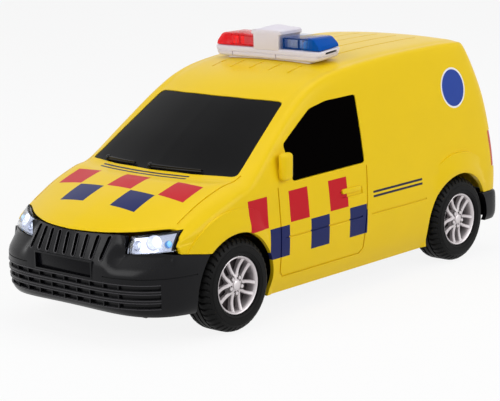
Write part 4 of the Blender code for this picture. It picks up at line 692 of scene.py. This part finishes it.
def arch_flare(x):
    profile = [(FLARE_ROOT, ARCH_R - 5.0), (56.0, ARCH_R - 5.0)]
    profile += [(y, ARCH_R + out) for y, out in FLARE_EDGE] + [(FLARE_ROOT, ARCH_R + 10.0)]
    bm = turned(profile, "y", (x, ARCH_Z), 96)
    crown = (x, FLARE_Y, ARCH_Z + ARCH_R)
    bmesh.ops.rotate(bm, verts=bm.verts, cent=crown, matrix=Matrix.Rotation(FLARE_LEAN, 3, "X"))
    return bm


def at_wheels(make):
    return gathered(*[sided(make(x), side) for x in (FRONT_AXLE_X, REAR_AXLE_X) for _, side in SIDES])


def wheel_arches(radius):
    return at_wheels(lambda x: rod("y", (x, ARCH_Z), radius, 30.0, OUTSIDE, 96))


def below_sill():
    return box(-140, 140, -OUTSIDE, OUTSIDE, -30.0, SILL_Z + 0.05)


def seam_grooves():
    cuts = []
    for _, side in SIDES:
        cuts.append(sided(prism(DOOR_SEAM, "y", 40.0, OUTSIDE), side))
        for x0, x1, z0, z1 in SIDE_GROOVES:
            cuts.append(sided(box(x0, x1, 40.0, OUTSIDE, z0, z1), side))
        cuts.append(sided(prism(BONNET_SEAM, "z", 47.0, 80.0), side))
    for k in range(-2, 3):
        for x0, x1 in ROOF_GROOVES:
            y = k * ROOF_PITCH
            cuts.append(box(x0, x1, y - ROOF_GROOVE_HALF, y + ROOF_GROOVE_HALF, 90.0, 120.0))
    return carved(gathered(*cuts), *less(body_solid(GROOVE_DEPTH, 4, ACROSS_PLAIN)))


shell = carved(
    body_solid(0.0, 8),
    ("UNION", carved(at_wheels(arch_flare), *less(below_sill()))),
    *less(
        body_solid(SHELL_WALL, 3, steps(0.0, 10.0, 20), 8.0),
        seam_grooves(),
        wheel_arches(ARCH_R),
        prism(NOSE_CUT, "y", -OUTSIDE, OUTSIDE),
        each_side(lambda: prism(CHEEK_EDGE, "y", 45.5, OUTSIDE)),
        prism(TAIL_CUT, "y", -OUTSIDE, OUTSIDE),
        below_sill(),
        each_side(lambda: prism(SIDE_WINDOW, "y", 30.0, OUTSIDE)),
        screen_shape(0.0, 14.0),
        prism(REAR_WINDOW, "x", -140.0, -100.0),
        each_side(lambda: prism(TAIL_LAMP, "y", 46.4, OUTSIDE)),
        each_side(lambda: prism(outline_offset(LAMP_FACE, GAP), "x", 92.0, 140.0)),
    ),
)
shell.normal_update()
outer_mark = shell.faces.layers.float.new(OUTER)
for face in shell.faces:
    y = face.calc_center_median().y
    inward = face.normal.y * math.copysign(1.0, y) < -0.3
    ceiling = face.normal.z < -0.5 and abs(y) < 48.0
    face[outer_mark] = 0.0 if inward or ceiling else 1.0
piece("van_shell", shell, "yellow_plastic", "body_shell", smooth=24.0)

screen = pane_sheet(steps(4.3, 8.6, 36), steps(-3.6, 3.6, 48))
screen = carved(screen, ("INTERSECT", screen_shape(-GAP, 13.0)))
piece("screen_pane", screen, "dark_glazing", "windscreen")
for word, side in SIDES:
    pane = pane_sheet(steps(4.6, 10.6, 48), steps(3.0 * side, 6.6 * side, 36))
    trim = sided(prism(outline_offset(SIDE_WINDOW, -GAP), "y", 34.0, OUTSIDE - 5), side)
    pane = carved(pane, ("INTERSECT", trim))
    piece(word + "_pane", pane, "side_glazing", word + "_side_window")
    grip = sided(prism(HANDLE, "y", 53.2, OUTSIDE), side)
    grip = carved(grip, ("INTERSECT", body_solid(-HANDLE_OUT, 4, ACROSS_PLAIN)))
    piece(word + "_door_handle", softened(grip, 0.25, 2, 50.0), "yellow_trim")
    block = sided(prism(outline_offset(TAIL_LAMP, -GAP), "y", 47.2, OUTSIDE), side)
    lens = carved(body_solid(0.2, 6), ("INTERSECT", block))
    piece(word + "_tail_lens", lens, "tail_lens", word + "_tail_lamp")

# Bumpers: a wall swept round the plan curve of the nose or tail.
BUMPER_HALF = 55.5
BUMPER_TOP = 47.7
BUMPER_WALL = 2.4
FRONT_BASE = 86.0
FRONT_REACH = 41.0
FRONT_SQUARE = 4.2
BACK_BASE = -105.0
BACK_REACH = 22.0
BACK_SQUARE = 12.0
FRONT_PROFILE = ((BUMPER_TOP, 2.2), (44.9, 1.8), (42.0, 1.4), (38.5, 0.8), (34.0, 0.2), (28.0, 0.0))
FRONT_PROFILE += ((20.0, 0.5), (15.6, 1.6), (13.2, 3.2))
BACK_PROFILE = ((31.0, 1.0), (29.0, 0.0), (20.0, 0.0), (16.4, 1.2))
LEAN_Z = 35.0
LIP_OUT = 0.2
CHIN_Z = 19.0
CHIN_RISE = 6.0
LAMP_FOOT_X = 116.9
LAMP_BOW = 8.8


def plan_point(s, reach, square):
    return Vector((reach * (1.0 - abs(s) ** square) ** (1.7 / square), BUMPER_HALF * s))


def plan_path(reach, square, end=1.0, count=60):
    """Points from the left end to the right end, closer together at the corners."""
    turns = [end * math.copysign(1.0 - (1.0 - abs(t)) ** 1.9, t) for t in steps(1.0, -1.0, count)]
    return [plan_point(s, reach, square) for s in turns]


def plan_normals(path):
    normals = []
    for k in range(len(path)):
        along = path[min(k + 1, len(path) - 1)] - path[max(k - 1, 0)]
        normals.append(Vector((-along.y, along.x)).normalized())
    return normals


def smooth_profile(profile, per=3):
    spots = [Vector(p) for p in profile]
    fine = []
    for k in range(len(spots) - 1):
        fine += [tuple(through(*near(spots, k), n / per)) for n in range(per)]
    return fine + [tuple(spots[-1])]


def lip_x(y):
    """The bonnet's front edge."""
    return STATIONS[0][0] - STATIONS[0][1] * (y / SWEEP_HALF) ** 2


def grille_lean(z):
    return share(z, LEAN_Z, BUMPER_TOP) ** 1.5


def lamp_foot_x(y):
    """The foot of the headlamp's cover."""
    along = share(abs(y), 30.2, 49.6)
    return LAMP_FOOT_X - 7.7 * along + LAMP_BOW * along * (1.0 - along)


def swept_wall(base, facing, path, outer, inner, lip=False):
    """A closed wall between two (height, depth) edges; with a lip it leans back to bonnet and lamps."""
    rows = []
    for spot, normal in zip(path, plan_normals(path)):
        beside = share(abs(spot.y), 23.8, 30.6)
        beside *= beside * (3.0 - 2.0 * beside)
        fade = share(54.6 - abs(spot.y), 0.0, 4.0)
        ring = []
        for edge, wall in ((outer, 0.0), (list(reversed(inner)), BUMPER_WALL)):
            for z, depth in edge:
                at = spot - normal * depth
                x = base + facing * at.x
                if lip:
                    to_lip = (lip_x(at.y) + LIP_OUT - wall - x) * grille_lean(z)
                    to_lamp = min(lamp_foot_x(at.y) + 0.4 - wall - x, 0.0) * share(z, 33.0, 39.8) ** 1.3
                    x += (to_lip + (to_lamp - to_lip) * beside) * fade
                ring.append((x, at.y, z))
        rows.append(ring)
    return faceted(skin(rows))


def front_band(end, outer, inner, count=60, lip=False):
    return swept_wall(FRONT_BASE, 1, plan_path(FRONT_REACH, FRONT_SQUARE, end, count), outer, inner, lip)


def front_face_x(y):
    return FRONT_BASE + plan_point(y / BUMPER_HALF, FRONT_REACH, FRONT_SQUARE).x


def thickened(profile):
    return [(z, depth + BUMPER_WALL) for z, depth in profile]


def chin(bm):
    """The wall with its lower edge raised towards the middle."""
    for vert in bm.verts:
        low = max(CHIN_Z - vert.co.z, 0.0) / CHIN_Z
        vert.co.z += CHIN_RISE * low * (1.0 - (vert.co.y / BUMPER_HALF) ** 2)
    return bm


def lobe(middle, low, high, half, parts=8):
    """An upright slot outline with round ends."""
    ring = []
    for centre, start in ((high - half, 0.0), (low + half, math.pi)):
        ring += [(middle + half * math.cos(start + a), centre + half * math.sin(start + a))
                 for a in steps(0.0, math.pi, parts)]
    return ring


SLOT_SHAPE = (37.6, 47.2, 0.95)
SLOT_RIM_SHAPE = (37.3, 47.4, 1.25)
GRILLE_Y = [(k - 4) * 5.5 for k in range(9)]


def grille_shape(y, shape, front, rear):
    """A slot or its rim at one place of the grille, leaned back with the bumper's face."""
    bm = prism(lobe(y, *shape), "x", rear, front)
    foot = front_face_x(y) - 0.5
    for vert in bm.verts:
        vert.co.x += foot + (lip_x(y) + LIP_OUT - foot) * grille_lean(vert.co.z)
    return faceted(bm)


AHEAD = -3.0
SLAT_END = 0.87
SLATS = ((27.2, 1.7), (23.3, 1.9), (19.4, 2.2))
RIB_PITCH = 8.0
RIB_HALF = 0.35
LAMP_LEDGE = [(29.6, 40.0), (49.8, 41.8), (OUTSIDE, 43.6), (OUTSIDE, 60.0), (29.6, 60.0)]
SIDE_TOP = [(70.0, 35.1), (112.0, 41.3), (112.0, 60.0), (70.0, 60.0)]
SHELF = [(101.0, 30.0), (101.0, 49.6)] + [(lamp_foot_x(y) - 0.4, y) for y in steps(49.6, 30.0, 8)]


def slat_cut(z, depth):
    return front_band(SLAT_END, [(z + 1.1, AHEAD), (z - 1.2, AHEAD)], [(z + 0.8, depth), (z - 0.8, depth)])


fine_front = smooth_profile(FRONT_PROFILE)
cheek_line = carved(
    front_band(0.985, [(31.5, AHEAD), (30.9, AHEAD)], [(31.4, 0.45), (31.0, 0.45)]),
    *less(box(90.0, 140.0, -24.0, 24.0, 20.0, 40.0)),
)
front = carved(
    chin(front_band(1.0, fine_front, thickened(fine_front), 120, True)),
    ("UNION", each_side(lambda: prism(SHELF, "z", 38.2, 39.7))),
    *less(
        wheel_arches(ARCH_R),
        prism(SIDE_TOP, "y", -OUTSIDE, OUTSIDE),
        each_side(lambda: prism(LAMP_LEDGE, "x", 90.0, 140.0)),
        gathered(*[grille_shape(y, SLOT_SHAPE, 8.0, -1.5) for y in GRILLE_Y]),
        box(125.4, 140.0, -18.0, 18.0, 29.4, 36.8),
        gathered(*[slat_cut(z, depth) for z, depth in SLATS]),
        cheek_line,
    ),
)
piece("nose_bumper", front, "black_plastic", "front_bumper", smooth=28.0)


def face_depth(z):
    """How far the bumper's face lies in from its plan curve at a height."""
    below = max((p for p in fine_front if p[0] <= z), default=fine_front[-1])
    above = min((p for p in fine_front if p[0] > z), default=fine_front[0])
    return below[1] + (above[1] - below[1]) * share(z, below[0], above[0])


lips = []
ribs = []
for z, slat_depth in SLATS:
    for middle in (z + 1.35, z - 1.45):
        depth = face_depth(middle)
        lips.append(front_band(
            SLAT_END, [(middle + 0.15, depth - 0.2), (middle - 0.15, depth - 0.2)],
            [(middle + 0.25, depth + 0.4), (middle - 0.25, depth + 0.4)],
        ))
    for k in range(-4, 5):
        y = k * RIB_PITCH
        x = front_face_x(y)
        ribs.append(box(x - slat_depth - 0.4, x - 0.35, y - RIB_HALF, y + RIB_HALF, z - 1.3, z + 1.2, 0.15))
# The slat lips are real raised ridges in the lighter black, a painted highlight along their edges.
piece("slat_lips", gathered(*lips), "painted_sheen_black")
# The slot rims are raised rims in the same lighter black, a painted highlight round each slot.
slot_rims = [
    carved(grille_shape(y, SLOT_RIM_SHAPE, 0.0, -1.2), *less(grille_shape(y, SLOT_SHAPE, 3.0, -3.0)))
    for y in GRILLE_Y
]
piece("grille_rims", gathered(*slot_rims), "painted_sheen_black")
piece("bumper_ribs", gathered(*ribs), "black_plastic")
plate = box(124.6, 125.9, -17.3, 17.3, 29.9, 36.3, 0.35)
piece("number_plate", plate, "plate_gloss")
plate_frame = box(124.6, 127.1, -18.3, 18.3, 29.1, 37.1, 0.3)
plate_frame = carved(plate_frame, *less(box(124.0, 130.0, -17.5, 17.5, 29.8, 36.4)))
piece("plate_frame", plate_frame, "black_plastic")

fine_back = smooth_profile(BACK_PROFILE, 4)
rear = carved(
    swept_wall(BACK_BASE, -1, plan_path(BACK_REACH, BACK_SQUARE), fine_back, thickened(fine_back)),
    *less(wheel_arches(ARCH_R - 1.6), box(-106.8, -100.0, -OUTSIDE, OUTSIDE, 10.0, 40.0)),
)
piece("tail_bumper", rear, "black_plastic", "rear_bumper", smooth=28.0)

# Headlamps: a clear cover over a bright housing with three bowls, a lamp in each bowl and a dark rim.
LAMP_LOW = (Vector((LAMP_FOOT_X, 30.2, 40.3)), Vector((109.0, 49.6, 42.2)))
LAMP_HIGH = (Vector((114.4, 30.4, 47.2)), Vector((103.0, 48.3, 50.0)))
MAIN_SPOT = (0.56, 0.52)
SMALL_SPOT = (0.20, 0.42)
MARKER_SPOT = (0.86, 0.36)
LAMP_FLAT = 0.6


def lamp_point(u, v, back):
    """A point of the lamp's bowed face, moved back; u runs outwards and v upwards."""
    low = LAMP_LOW[0].lerp(LAMP_LOW[1], u)
    high = LAMP_HIGH[0].lerp(LAMP_HIGH[1], u)
    bow = LAMP_BOW * u * (1 - u) + 2.0 * v * (1 - v)
    return low.lerp(high, v) + Vector((bow - back, 0.0, 0.0))


def lamp_block(front, back, edge=0.0):
    rows = []
    for u in steps(edge, 1.0 - edge, 18):
        face = [lamp_point(u, v, front) for v in steps(edge, 1.0 - edge, 8)]
        rows.append(face + [lamp_point(u, v, back) for v in steps(1.0 - edge, edge, 8)])
    return faceted(skin(rows))


for word, side in SIDES:
    cover = carved(lamp_block(0.0, 1.2), *less(lamp_block(0.5, 3.0, 0.02)))
    piece(word + "_lamp_cover", sided(cover, side), "clear_lens", word + "_headlamp_lens")
    bowls = [ball(lamp_point(*MAIN_SPOT, 1.6), 3.5), ball(lamp_point(*SMALL_SPOT, 1.6), 2.2)]
    bowls.append(ball(lamp_point(*MARKER_SPOT, 1.4), 1.7))
    housing = carved(lamp_block(1.5, 8.5), *less(gathered(*bowls)))
    piece(word + "_lamp_housing", sided(housing, side), "lamp_chrome", word + "_headlamp_housing")
    for label, spot, back, radius, look in (
        ("_lit_lamp", MAIN_SPOT, 3.6, 2.3, "lit_lamp"),
        ("_small_lamp", SMALL_SPOT, 2.9, 1.2, "pale_lamp"),
        ("_marker_lamp", MARKER_SPOT, 2.1, 1.35, "blue_bulb"),
    ):
        piece(word + label, sided(ball(lamp_point(*spot, back), radius, LAMP_FLAT), side), look)
    rim_cuts = less(lamp_block(-2.0, 9.0, 0.03), box(90.0, 130.0, 20.0, 60.0, 30.0, 42.6))
    piece(word + "_lamp_rim", sided(carved(lamp_block(0.1, 7.0), *rim_cuts), side), "black_plastic")

# The mirror and the wipers.
MIRROR_Z = 62.2
MIRROR_HEIGHT = 12.4
head = softened(box(37.4, 44.4, 52.2, 56.5, MIRROR_Z, MIRROR_Z + MIRROR_HEIGHT), 1.9, 6)
for vert in head.verts:
    rise = (vert.co.z - MIRROR_Z) / MIRROR_HEIGHT
    vert.co.x -= 0.7 * rise
    vert.co.y -= 0.5 * max(rise - 0.6, 0.0)
foot = box(39.0, 43.6, 49.6, 54.5, 63.2, 67.4, 0.9, 4)
piece("mirror_shell", gathered(head, foot), "yellow_trim", "left_mirror")
piece("mirror_glass", box(36.9, 37.5, 53.0, 55.9, 63.6, 73.2, 0.25), "dark_glazing")

WIPER_U = 5.07
WIPER_TIP = 0.7
WIPER_SPREAD = 0.5
WIPER_RING = ((-1.0, 0.0), (1.0, 0.0), (0.9, 0.5), (0.45, 0.7), (0.3, 1.25), (-0.3, 1.3))
WIPER_RING += ((-0.5, 0.7), (-0.9, 0.5))


def screen_point(y):
    """The point of the windscreen's foot at a distance from the middle, found by halving steps."""
    v, step = 0.0, 1.0
    for _ in range(30):
        if body_point(WIPER_U, v + step).y > abs(y):
            step /= 2
        else:
            v = min(v + step, 3.0)
    spot = body_point(WIPER_U, v)
    return Vector((spot.x, y, spot.z))


def wiper(y0, y1):
    """A blade along the foot of the screen with a raised arm that widens towards its pivot."""
    rows = []
    for t in steps(0.0, 1.0, 24):
        spot = screen_point(y0 + (y1 - y0) * t) + SCREEN_UP * GAP
        half = WIPER_TIP + WIPER_SPREAD * (1.0 - t)
        rows.append([spot + SCREEN_ALONG * (across * half) + SCREEN_UP * lift for across, lift in WIPER_RING])
    pivot = ball(screen_point(y0 + 1.4) + SCREEN_UP * 0.8, 1.3)
    return gathered(faceted(skin(rows)), pivot)


for word, ends in (("right", (-34.0, -12.0)), ("left", (-3.0, 28.0))):
    piece(word + "_wiper_blade", wiper(*ends), "black_plastic", word + "_wiper")

# The light bar on the roof: a tray, two clear covers with lamps under them, and a bridge between them.
BAR_X = -17.4
BAR_HALF_DEPTH = 8.0
BAR_HALF = 33.6
ROOF_SLOPE = 0.085
TRAY_TOP = 112.4
LENS_Z = 112.7
LENS_TOP = 118.9
LAMP_Z = 110.6
TRAY_LEVELS = ((102.0, 7.4, 1.5), (107.5, 6.8, 1.3), (107.65, 3.0, 0.8), (107.8, 2.3, 0.45))
TRAY_LEVELS += ((108.1, 1.6, 0.2), (108.6, 1.0, 0.1), (109.7, 0.6, 0.1), (109.85, 0.8, 0.35))
TRAY_LEVELS += ((110.1, 0.8, 0.35), (110.25, 0.35, 0.0), (111.8, 0.0, 0.0), (112.2, 0.1, 0.1))
TRAY_LEVELS += ((TRAY_TOP, 0.4, 0.4),)


def bar_box(x0, x1, *rest):
    return box(BAR_X + x0, BAR_X + x1, *rest)


def bar_prism(outline, x0, x1):
    return prism(outline, "x", BAR_X + x0, BAR_X + x1)


def pitched(bm):
    """The foot of the shape leaned back with the slope of the roof; its top stays level."""
    for vert in bm.verts:
        held = share(LENS_TOP - vert.co.z, 0.0, LENS_TOP - LENS_Z)
        vert.co.z += ROOF_SLOPE * (BAR_X + BAR_HALF_DEPTH - vert.co.x) * held
    return bm


def plan_block(levels, corner):
    """A block with rounded plan corners; levels are (height, end set in, face set in) from the bottom up."""
    rows = []
    for z, end_in, face_in in levels:
        wide, deep = BAR_HALF - end_in, BAR_HALF_DEPTH - face_in
        plan = rounded([(deep, wide), (-deep, wide), (-deep, -wide), (deep, -wide)], corner)
        rows.append([(BAR_X + x, y, z) for x, y in plan])
    return faceted(skin(rows))


tray = carved(pitched(plan_block(TRAY_LEVELS, 2.4)), *less(
    body_solid(-GAP, 3, ACROSS_PLAIN),
    pitched(bar_box(-5.4, 5.4, -29.0, 29.0, 109.5, 112.65)),
    pitched(each_side(lambda: bar_box(-4.6, 3.6, 32.8, 38.0, 110.6, 111.7, 0.2))),
    gathered(*[bar_box(7.3, 9.0, y - 0.25, y + 0.25, 107.0, 110.0) for y in (-22.0, 6.0)]),
))
piece("bar_tray", tray, "white_plastic", "light_bar_tray")
clips = each_side(lambda: bar_box(-4.3, 3.3, 32.3, 33.1, 110.7, 111.6, 0.1))
piece("bar_clips", pitched(clips), "black_plastic")

LENS = [(8.3, LENS_Z), (32.9, LENS_Z), (32.3, 114.75), (29.3, 118.2), (27.7, LENS_TOP), (8.3, LENS_TOP)]
LENS_INNER = [(9.2, 111.5), (31.9, 111.5), (31.4, 114.4), (28.7, 117.5), (27.4, 118.0), (9.2, 118.0)]
EDGE_Z = LENS_Z + 0.7
LENS_EDGE = [(9.7, EDGE_Z), (31.3, EDGE_Z), (30.8, 114.2), (28.3, 117.0), (27.2, 117.4), (9.7, 117.4)]
BULB = [(0.0, 0.0), (0.0, 4.2), (4.4, 4.1), (5.6, 3.6), (6.4, 2.4), (6.7, 0.0)]
for colour, side in (("blue", 1), ("red", -1)):
    name = colour + "_cover"
    lens = colour + "_lens"
    cover = softened(bar_prism(rounded(LENS, 0.7), -7.3, 7.3), 0.5, 4, 60.0)
    cover = carved(cover, *less(bar_prism(LENS_INNER, -6.3, 6.3)))
    piece(name, sided(pitched(cover), side), lens, lens)
    edge_cuts = less(bar_prism(LENS_EDGE, 4.0, 8.0), bar_box(4.0, 8.0, 0.0, OUTSIDE, 110.0, LENS_Z))
    edges = [carved(bar_prism(LENS_INNER, 5.3, 6.2), *edge_cuts)]
    edges += [bar_box(5.3, 6.2, y - 0.3, y + 0.3, LENS_Z, 117.6) for y in (18.9, 28.0)]
    piece(name + "_edge", sided(pitched(gathered(*edges)), side), "deep_" + colour)
    panel = [bar_box(2.6, 3.3, 9.6, 18.2, LAMP_Z, 117.2, 0.2)]
    panel += [bar_box(3.2, 3.6, y, y + 0.5, 110.8, 117.0, 0.1) for y in steps(10.0, 17.4, 8)]
    piece(name + "_panel", sided(gathered(*panel), side), "bar_reflector")
    bulb = moved(turned(BULB, "z", (BAR_X + 1.4, 22.8), 40, False), 0.0, 0.0, LAMP_Z)
    piece(name + "_bulb", sided(bulb, side), colour + "_bulb")
    streaks = [bar_box(5.45, 5.8, y - 0.35, y + 0.35, 111.6, 116.4, 0.15) for y in (21.4, 23.6, 25.4)]
    piece(name + "_streaks", sided(gathered(*streaks), side), "bar_reflector")

CREST_Z = 121.5
CREST_HALF = 8.0
CREST_SWELL = 1.8
CREST = [(CREST_HALF, 111.6), (CREST_HALF, 119.2), (8.9, 119.25), (9.15, 119.5), (9.1, 120.8), (8.7, 121.25)]
CREST += [(7.6, 121.45)] + [(y, CREST_Z) for y in (6.4, 4.8, 3.2, 1.6, 0.0)]
CREST += [(-y, z) for y, z in reversed(CREST[:-1])]
rows = []
for x in steps(-7.7, 8.0, 18):
    swell = CREST_SWELL * (1.0 - (abs(x) / BAR_HALF_DEPTH) ** 2.2)
    row = []
    for y, z in CREST:
        crown = math.cos(math.pi / 2 * share(abs(y), 0.0, CREST_HALF)) ** 1.5 if z > 121.0 else 0.0
        row.append((BAR_X + x, y, z + swell * crown))
    rows.append(row)
bridge = pitched(faceted(softened(skin(rows), 0.16, 2, 50.0)))
piece("bar_bridge", bridge, "white_plastic", "light_bar_bridge")

# Wheels, drawn about their own middle with the outer face towards +Y and then set in place.
WHEEL_Y = 47.2
AXLE_Z = 21.1
TYRE_RING = [(7.5, 13.25), (8.2, 13.55), (8.5, 14.1), (8.57, 14.35), (8.42, 14.5), (8.42, 14.8), (8.62, 15.0)]
TYRE_RING += [(8.66, 16.0), (8.5, 17.0), (8.27, 17.2), (8.25, 17.45), (8.3, 17.65), (7.9, 18.5), (7.35, 19.3)]
TYRE_RING += [(6.6, 20.1), (5.6, 20.75), (4.6, 21.05), (3.3, AXLE_Z), (3.2, 20.35), (2.4, 20.35)]
TYRE_RING += [(2.3, AXLE_Z), (0.5, AXLE_Z), (0.4, 20.35)]
TYRE_RING += [(-y, r) for y, r in reversed(TYRE_RING)]
BLOCKS = 42
PER_BLOCK = 5
NOTCH = 0.75
NOTCH_SLANT = 0.35
NOTCH_FROM = (3.25, 18.5)
PAIRS = 5
NUT_CIRCLE = 3.62
BARREL = [(7.0, 13.0), (-7.4, 12.6), (-7.4, 11.4), (2.6, 11.6), (5.6, 11.6), (6.6, 11.85), (7.15, 12.15)]
BARREL += [(7.5, 12.45), (7.6, 12.7), (7.45, 12.95)]
HUB = [(-2.6, 1.8), (-2.6, 4.4), (5.2, 4.9), (6.0, 4.7), (6.3, 4.2), (6.35, 2.9), (6.5, 2.5), (6.5, 1.8)]
CAP = [(5.8, 0.0), (5.8, 2.35), (6.9, 2.3), (7.15, 2.05), (7.3, 1.5), (7.42, 0.8), (7.45, 0.0)]
NUT = [(5.6, 0.0), (5.6, 0.95), (6.8, 0.9), (7.0, 0.7), (7.0, 0.0)]
NUT_RING = [(6.2, 0.98), (6.2, 1.5), (6.46, 1.5), (6.46, 0.98)]
BACKING = [(1.6, 4.0), (1.6, 11.6), (2.2, 11.6), (2.9, 9.0), (3.2, 6.0), (3.2, 4.0)]
MIDDLE = (0.0, 0.0)
PAIR_ANGLES = [math.tau * k / PAIRS - math.pi / 2 for k in range(PAIRS)]


def tyre():
    """A tyre whose shoulder blocks are parted by notches that slant across the tread."""
    rows = []
    count = BLOCKS * PER_BLOCK
    for k in range(count):
        a = math.tau * k / count
        ring = []
        for y, radius in TYRE_RING:
            notched = (k + round(y * NOTCH_SLANT)) % PER_BLOCK == 0
            if notched and abs(y) > NOTCH_FROM[0] and radius > NOTCH_FROM[1]:
                radius -= NOTCH
            ring.append((radius * math.cos(a), y, radius * math.sin(a)))
        rows.append(ring)
    rows.append(rows[0])
    bm = skin(rows, None, None)
    bmesh.ops.remove_doubles(bm, verts=bm.verts, dist=WELD)
    return faceted(bm)


def spoke(angle, lean):
    """One spoke of a pair: it leaves the hub beside a wheel nut and meets the rim nearer its twin."""
    rows = []
    for t in steps(0.0, 1.0, 10):
        radius = 3.6 + 8.35 * t
        turn = angle + lean * math.radians(29.0 - 17.0 * t ** 0.55)
        middle = Vector((radius * math.cos(turn), 0.0, radius * math.sin(turn)))
        across = Vector((-math.sin(turn), 0.0, math.cos(turn)))
        half = 0.92 - 0.14 * math.sin(math.pi * t)
        flat = half * 0.62
        face = 6.55 - 0.75 * math.sin(math.pi * t) + 0.35 * t
        shoulder = face - 0.45
        ring = [(-half, 4.0), (half, 4.0), (half, shoulder), (flat, face), (-flat, face), (-half, shoulder)]
        rows.append([middle + across * s + Vector((0.0, y, 0.0)) for s, y in ring])
    return faceted(skin(rows))


def nut_spot(angle):
    return NUT_CIRCLE * math.cos(angle), NUT_CIRCLE * math.sin(angle)


def rim():
    shapes = [turned(BARREL, "y", MIDDLE, 96), turned(HUB, "y", MIDDLE, 64)]
    shapes.append(turned(CAP, "y", MIDDLE, 48, False))
    for angle in PAIR_ANGLES:
        shapes += [spoke(angle, lean) for lean in (-1.0, 1.0)]
        shapes.append(turned(NUT, "y", nut_spot(angle), 6, False))
    return gathered(*shapes)


def nut_rings():
    return gathered(*[turned(NUT_RING, "y", nut_spot(angle), 24) for angle in PAIR_ANGLES])


# The disc that closes the spoke gaps; its dark look is painted shade over what is a silver dish.
def backing():
    return turned(BACKING, "y", MIDDLE, 64)


for place, x in (("front_", FRONT_AXLE_X), ("rear_", REAR_AXLE_X)):
    for word, side in SIDES:
        wheel = place + word
        rider = wheel + "_wheel" if place == "front_" else "rear_wheelset"
        for label, make, look, stands_for, slot in (
            ("_road_tyre", tyre, "tyre_rubber", wheel + "_tyre", ""),
            ("_wheel_face", rim, "silver_plating", wheel + "_rim", ""),
            ("_nut_rings", nut_rings, "dull_silver", "", "silver_plating"),
            # The backing's dark look is painted shade; the part itself is silver plating.
            ("_wheel_shade_backing", backing, "rim_backing_painted_shade", "", "silver_plating"),
        ):
            shape = moved(sided(make(), side), x, side * WHEEL_Y, AXLE_Z)
            piece(wheel + label, shape, look, stands_for, rider)


# Floor, light and camera.
def seen_rays(tree):
    """One for rays from the camera and those that it meets in metal and glass."""
    ray = tree.nodes.new("ShaderNodeLightPath").outputs
    straight = maths(tree, "MAXIMUM", ray["Is Camera Ray"], ray["Is Glossy Ray"])
    return maths(tree, "MAXIMUM", straight, ray["Is Transmission Ray"])


def mixed(tree, factor, plain, seen, end):
    """The plain shader mixed with the one that is seen, joined to an output node."""
    both_shaders = tree.nodes.new("ShaderNodeMixShader")
    for socket, value in zip(both_shaders.inputs, (factor, plain.outputs[0], seen.outputs[0])):
        plug(tree, socket, value)
    tree.links.new(both_shaders.outputs[0], tree.nodes[end].inputs["Surface"])


PURE_WHITE = (1.0, 1.0, 1.0, 1.0)
FLOOR_HALF = 4.0
FLOOR_SEEN = 0.88
floor_shape = bmesh.new()
bmesh.ops.create_grid(floor_shape, x_segments=1, y_segments=1, size=FLOOR_HALF)
floor = linked("floor", as_mesh("floor", floor_shape))
paper = bpy.data.materials.new("white_paper")
paper.use_nodes = True
tree = paper.node_tree
sheet = tree.nodes["Principled BSDF"]
sheet.inputs["Base Color"].default_value = (0.80, 0.80, 0.80, 1.0)
sheet.inputs["Roughness"].default_value = 0.9
bright = node(tree, "ShaderNodeEmission", Color=PURE_WHITE, Strength=1.0)
mixed(tree, maths(tree, "MULTIPLY", seen_rays(tree), FLOOR_SEEN), sheet, bright, "Material Output")
floor.data.materials.append(paper)

world = bpy.data.worlds.new("studio")
world.use_nodes = True
tree = world.node_tree
sky = tree.nodes["Background"]
sky.inputs["Color"].default_value = (0.93, 0.95, 1.0, 1.0)
sky.inputs["Strength"].default_value = 0.32
clear_sky = node(tree, "ShaderNodeBackground", Color=PURE_WHITE, Strength=1.0)
mixed(tree, seen_rays(tree), sky, clear_sky, "World Output")
bpy.context.scene.world = world


def lamp(name, place, target, size, power):
    data = bpy.data.lights.new(name, "AREA")
    data.shape = "RECTANGLE"
    data.size = size[0]
    data.size_y = size[1]
    data.energy = power
    obj = linked(name, data)
    obj.location = place
    obj.rotation_mode = "QUATERNION"
    obj.rotation_quaternion = (Vector(target) - Vector(place)).to_track_quat("-Z", "Y")


lamp("key_light", (0.95, -0.25, 0.62), (0.0, 0.0, 0.06), (0.9, 0.7), 6.4)
lamp("side_light", (-0.25, 1.0, 0.65), (0.0, 0.0, 0.06), (0.9, 0.7), 6.5)
lamp("top_light", (-0.10, 0.0, 1.2), (0.0, 0.0, 0.05), (1.0, 1.0), 4.4)

FOCAL_PIXELS = 1810.0
FRAME_WIDTH = 500.0
SENSOR = 36.0
AZIMUTH = math.radians(42.23)
ELEVATION = math.radians(11.62)
ROLL = math.radians(-1.6)
CAMERA_PLACE = (0.63706, 0.57374, 0.21613)
camera_data = bpy.data.cameras.new("camera")
camera_data.sensor_width = SENSOR
camera_data.lens = FOCAL_PIXELS / FRAME_WIDTH * SENSOR
camera = linked("camera", camera_data)
level = math.cos(ELEVATION)
back = Vector((math.cos(AZIMUTH) * level, math.sin(AZIMUTH) * level, math.sin(ELEVATION)))
right = Vector((-math.sin(AZIMUTH), math.cos(AZIMUTH), 0.0))
above = back.cross(right)
turned_right = right * math.cos(ROLL) + above * math.sin(ROLL)
turned_above = above * math.cos(ROLL) - right * math.sin(ROLL)
basis = Matrix((turned_right, turned_above, back)).transposed().to_4x4()
camera.matrix_world = Matrix.Translation(CAMERA_PLACE) @ basis
bpy.context.scene.camera = camera
bpy.context.scene.view_settings.view_transform = "Standard"
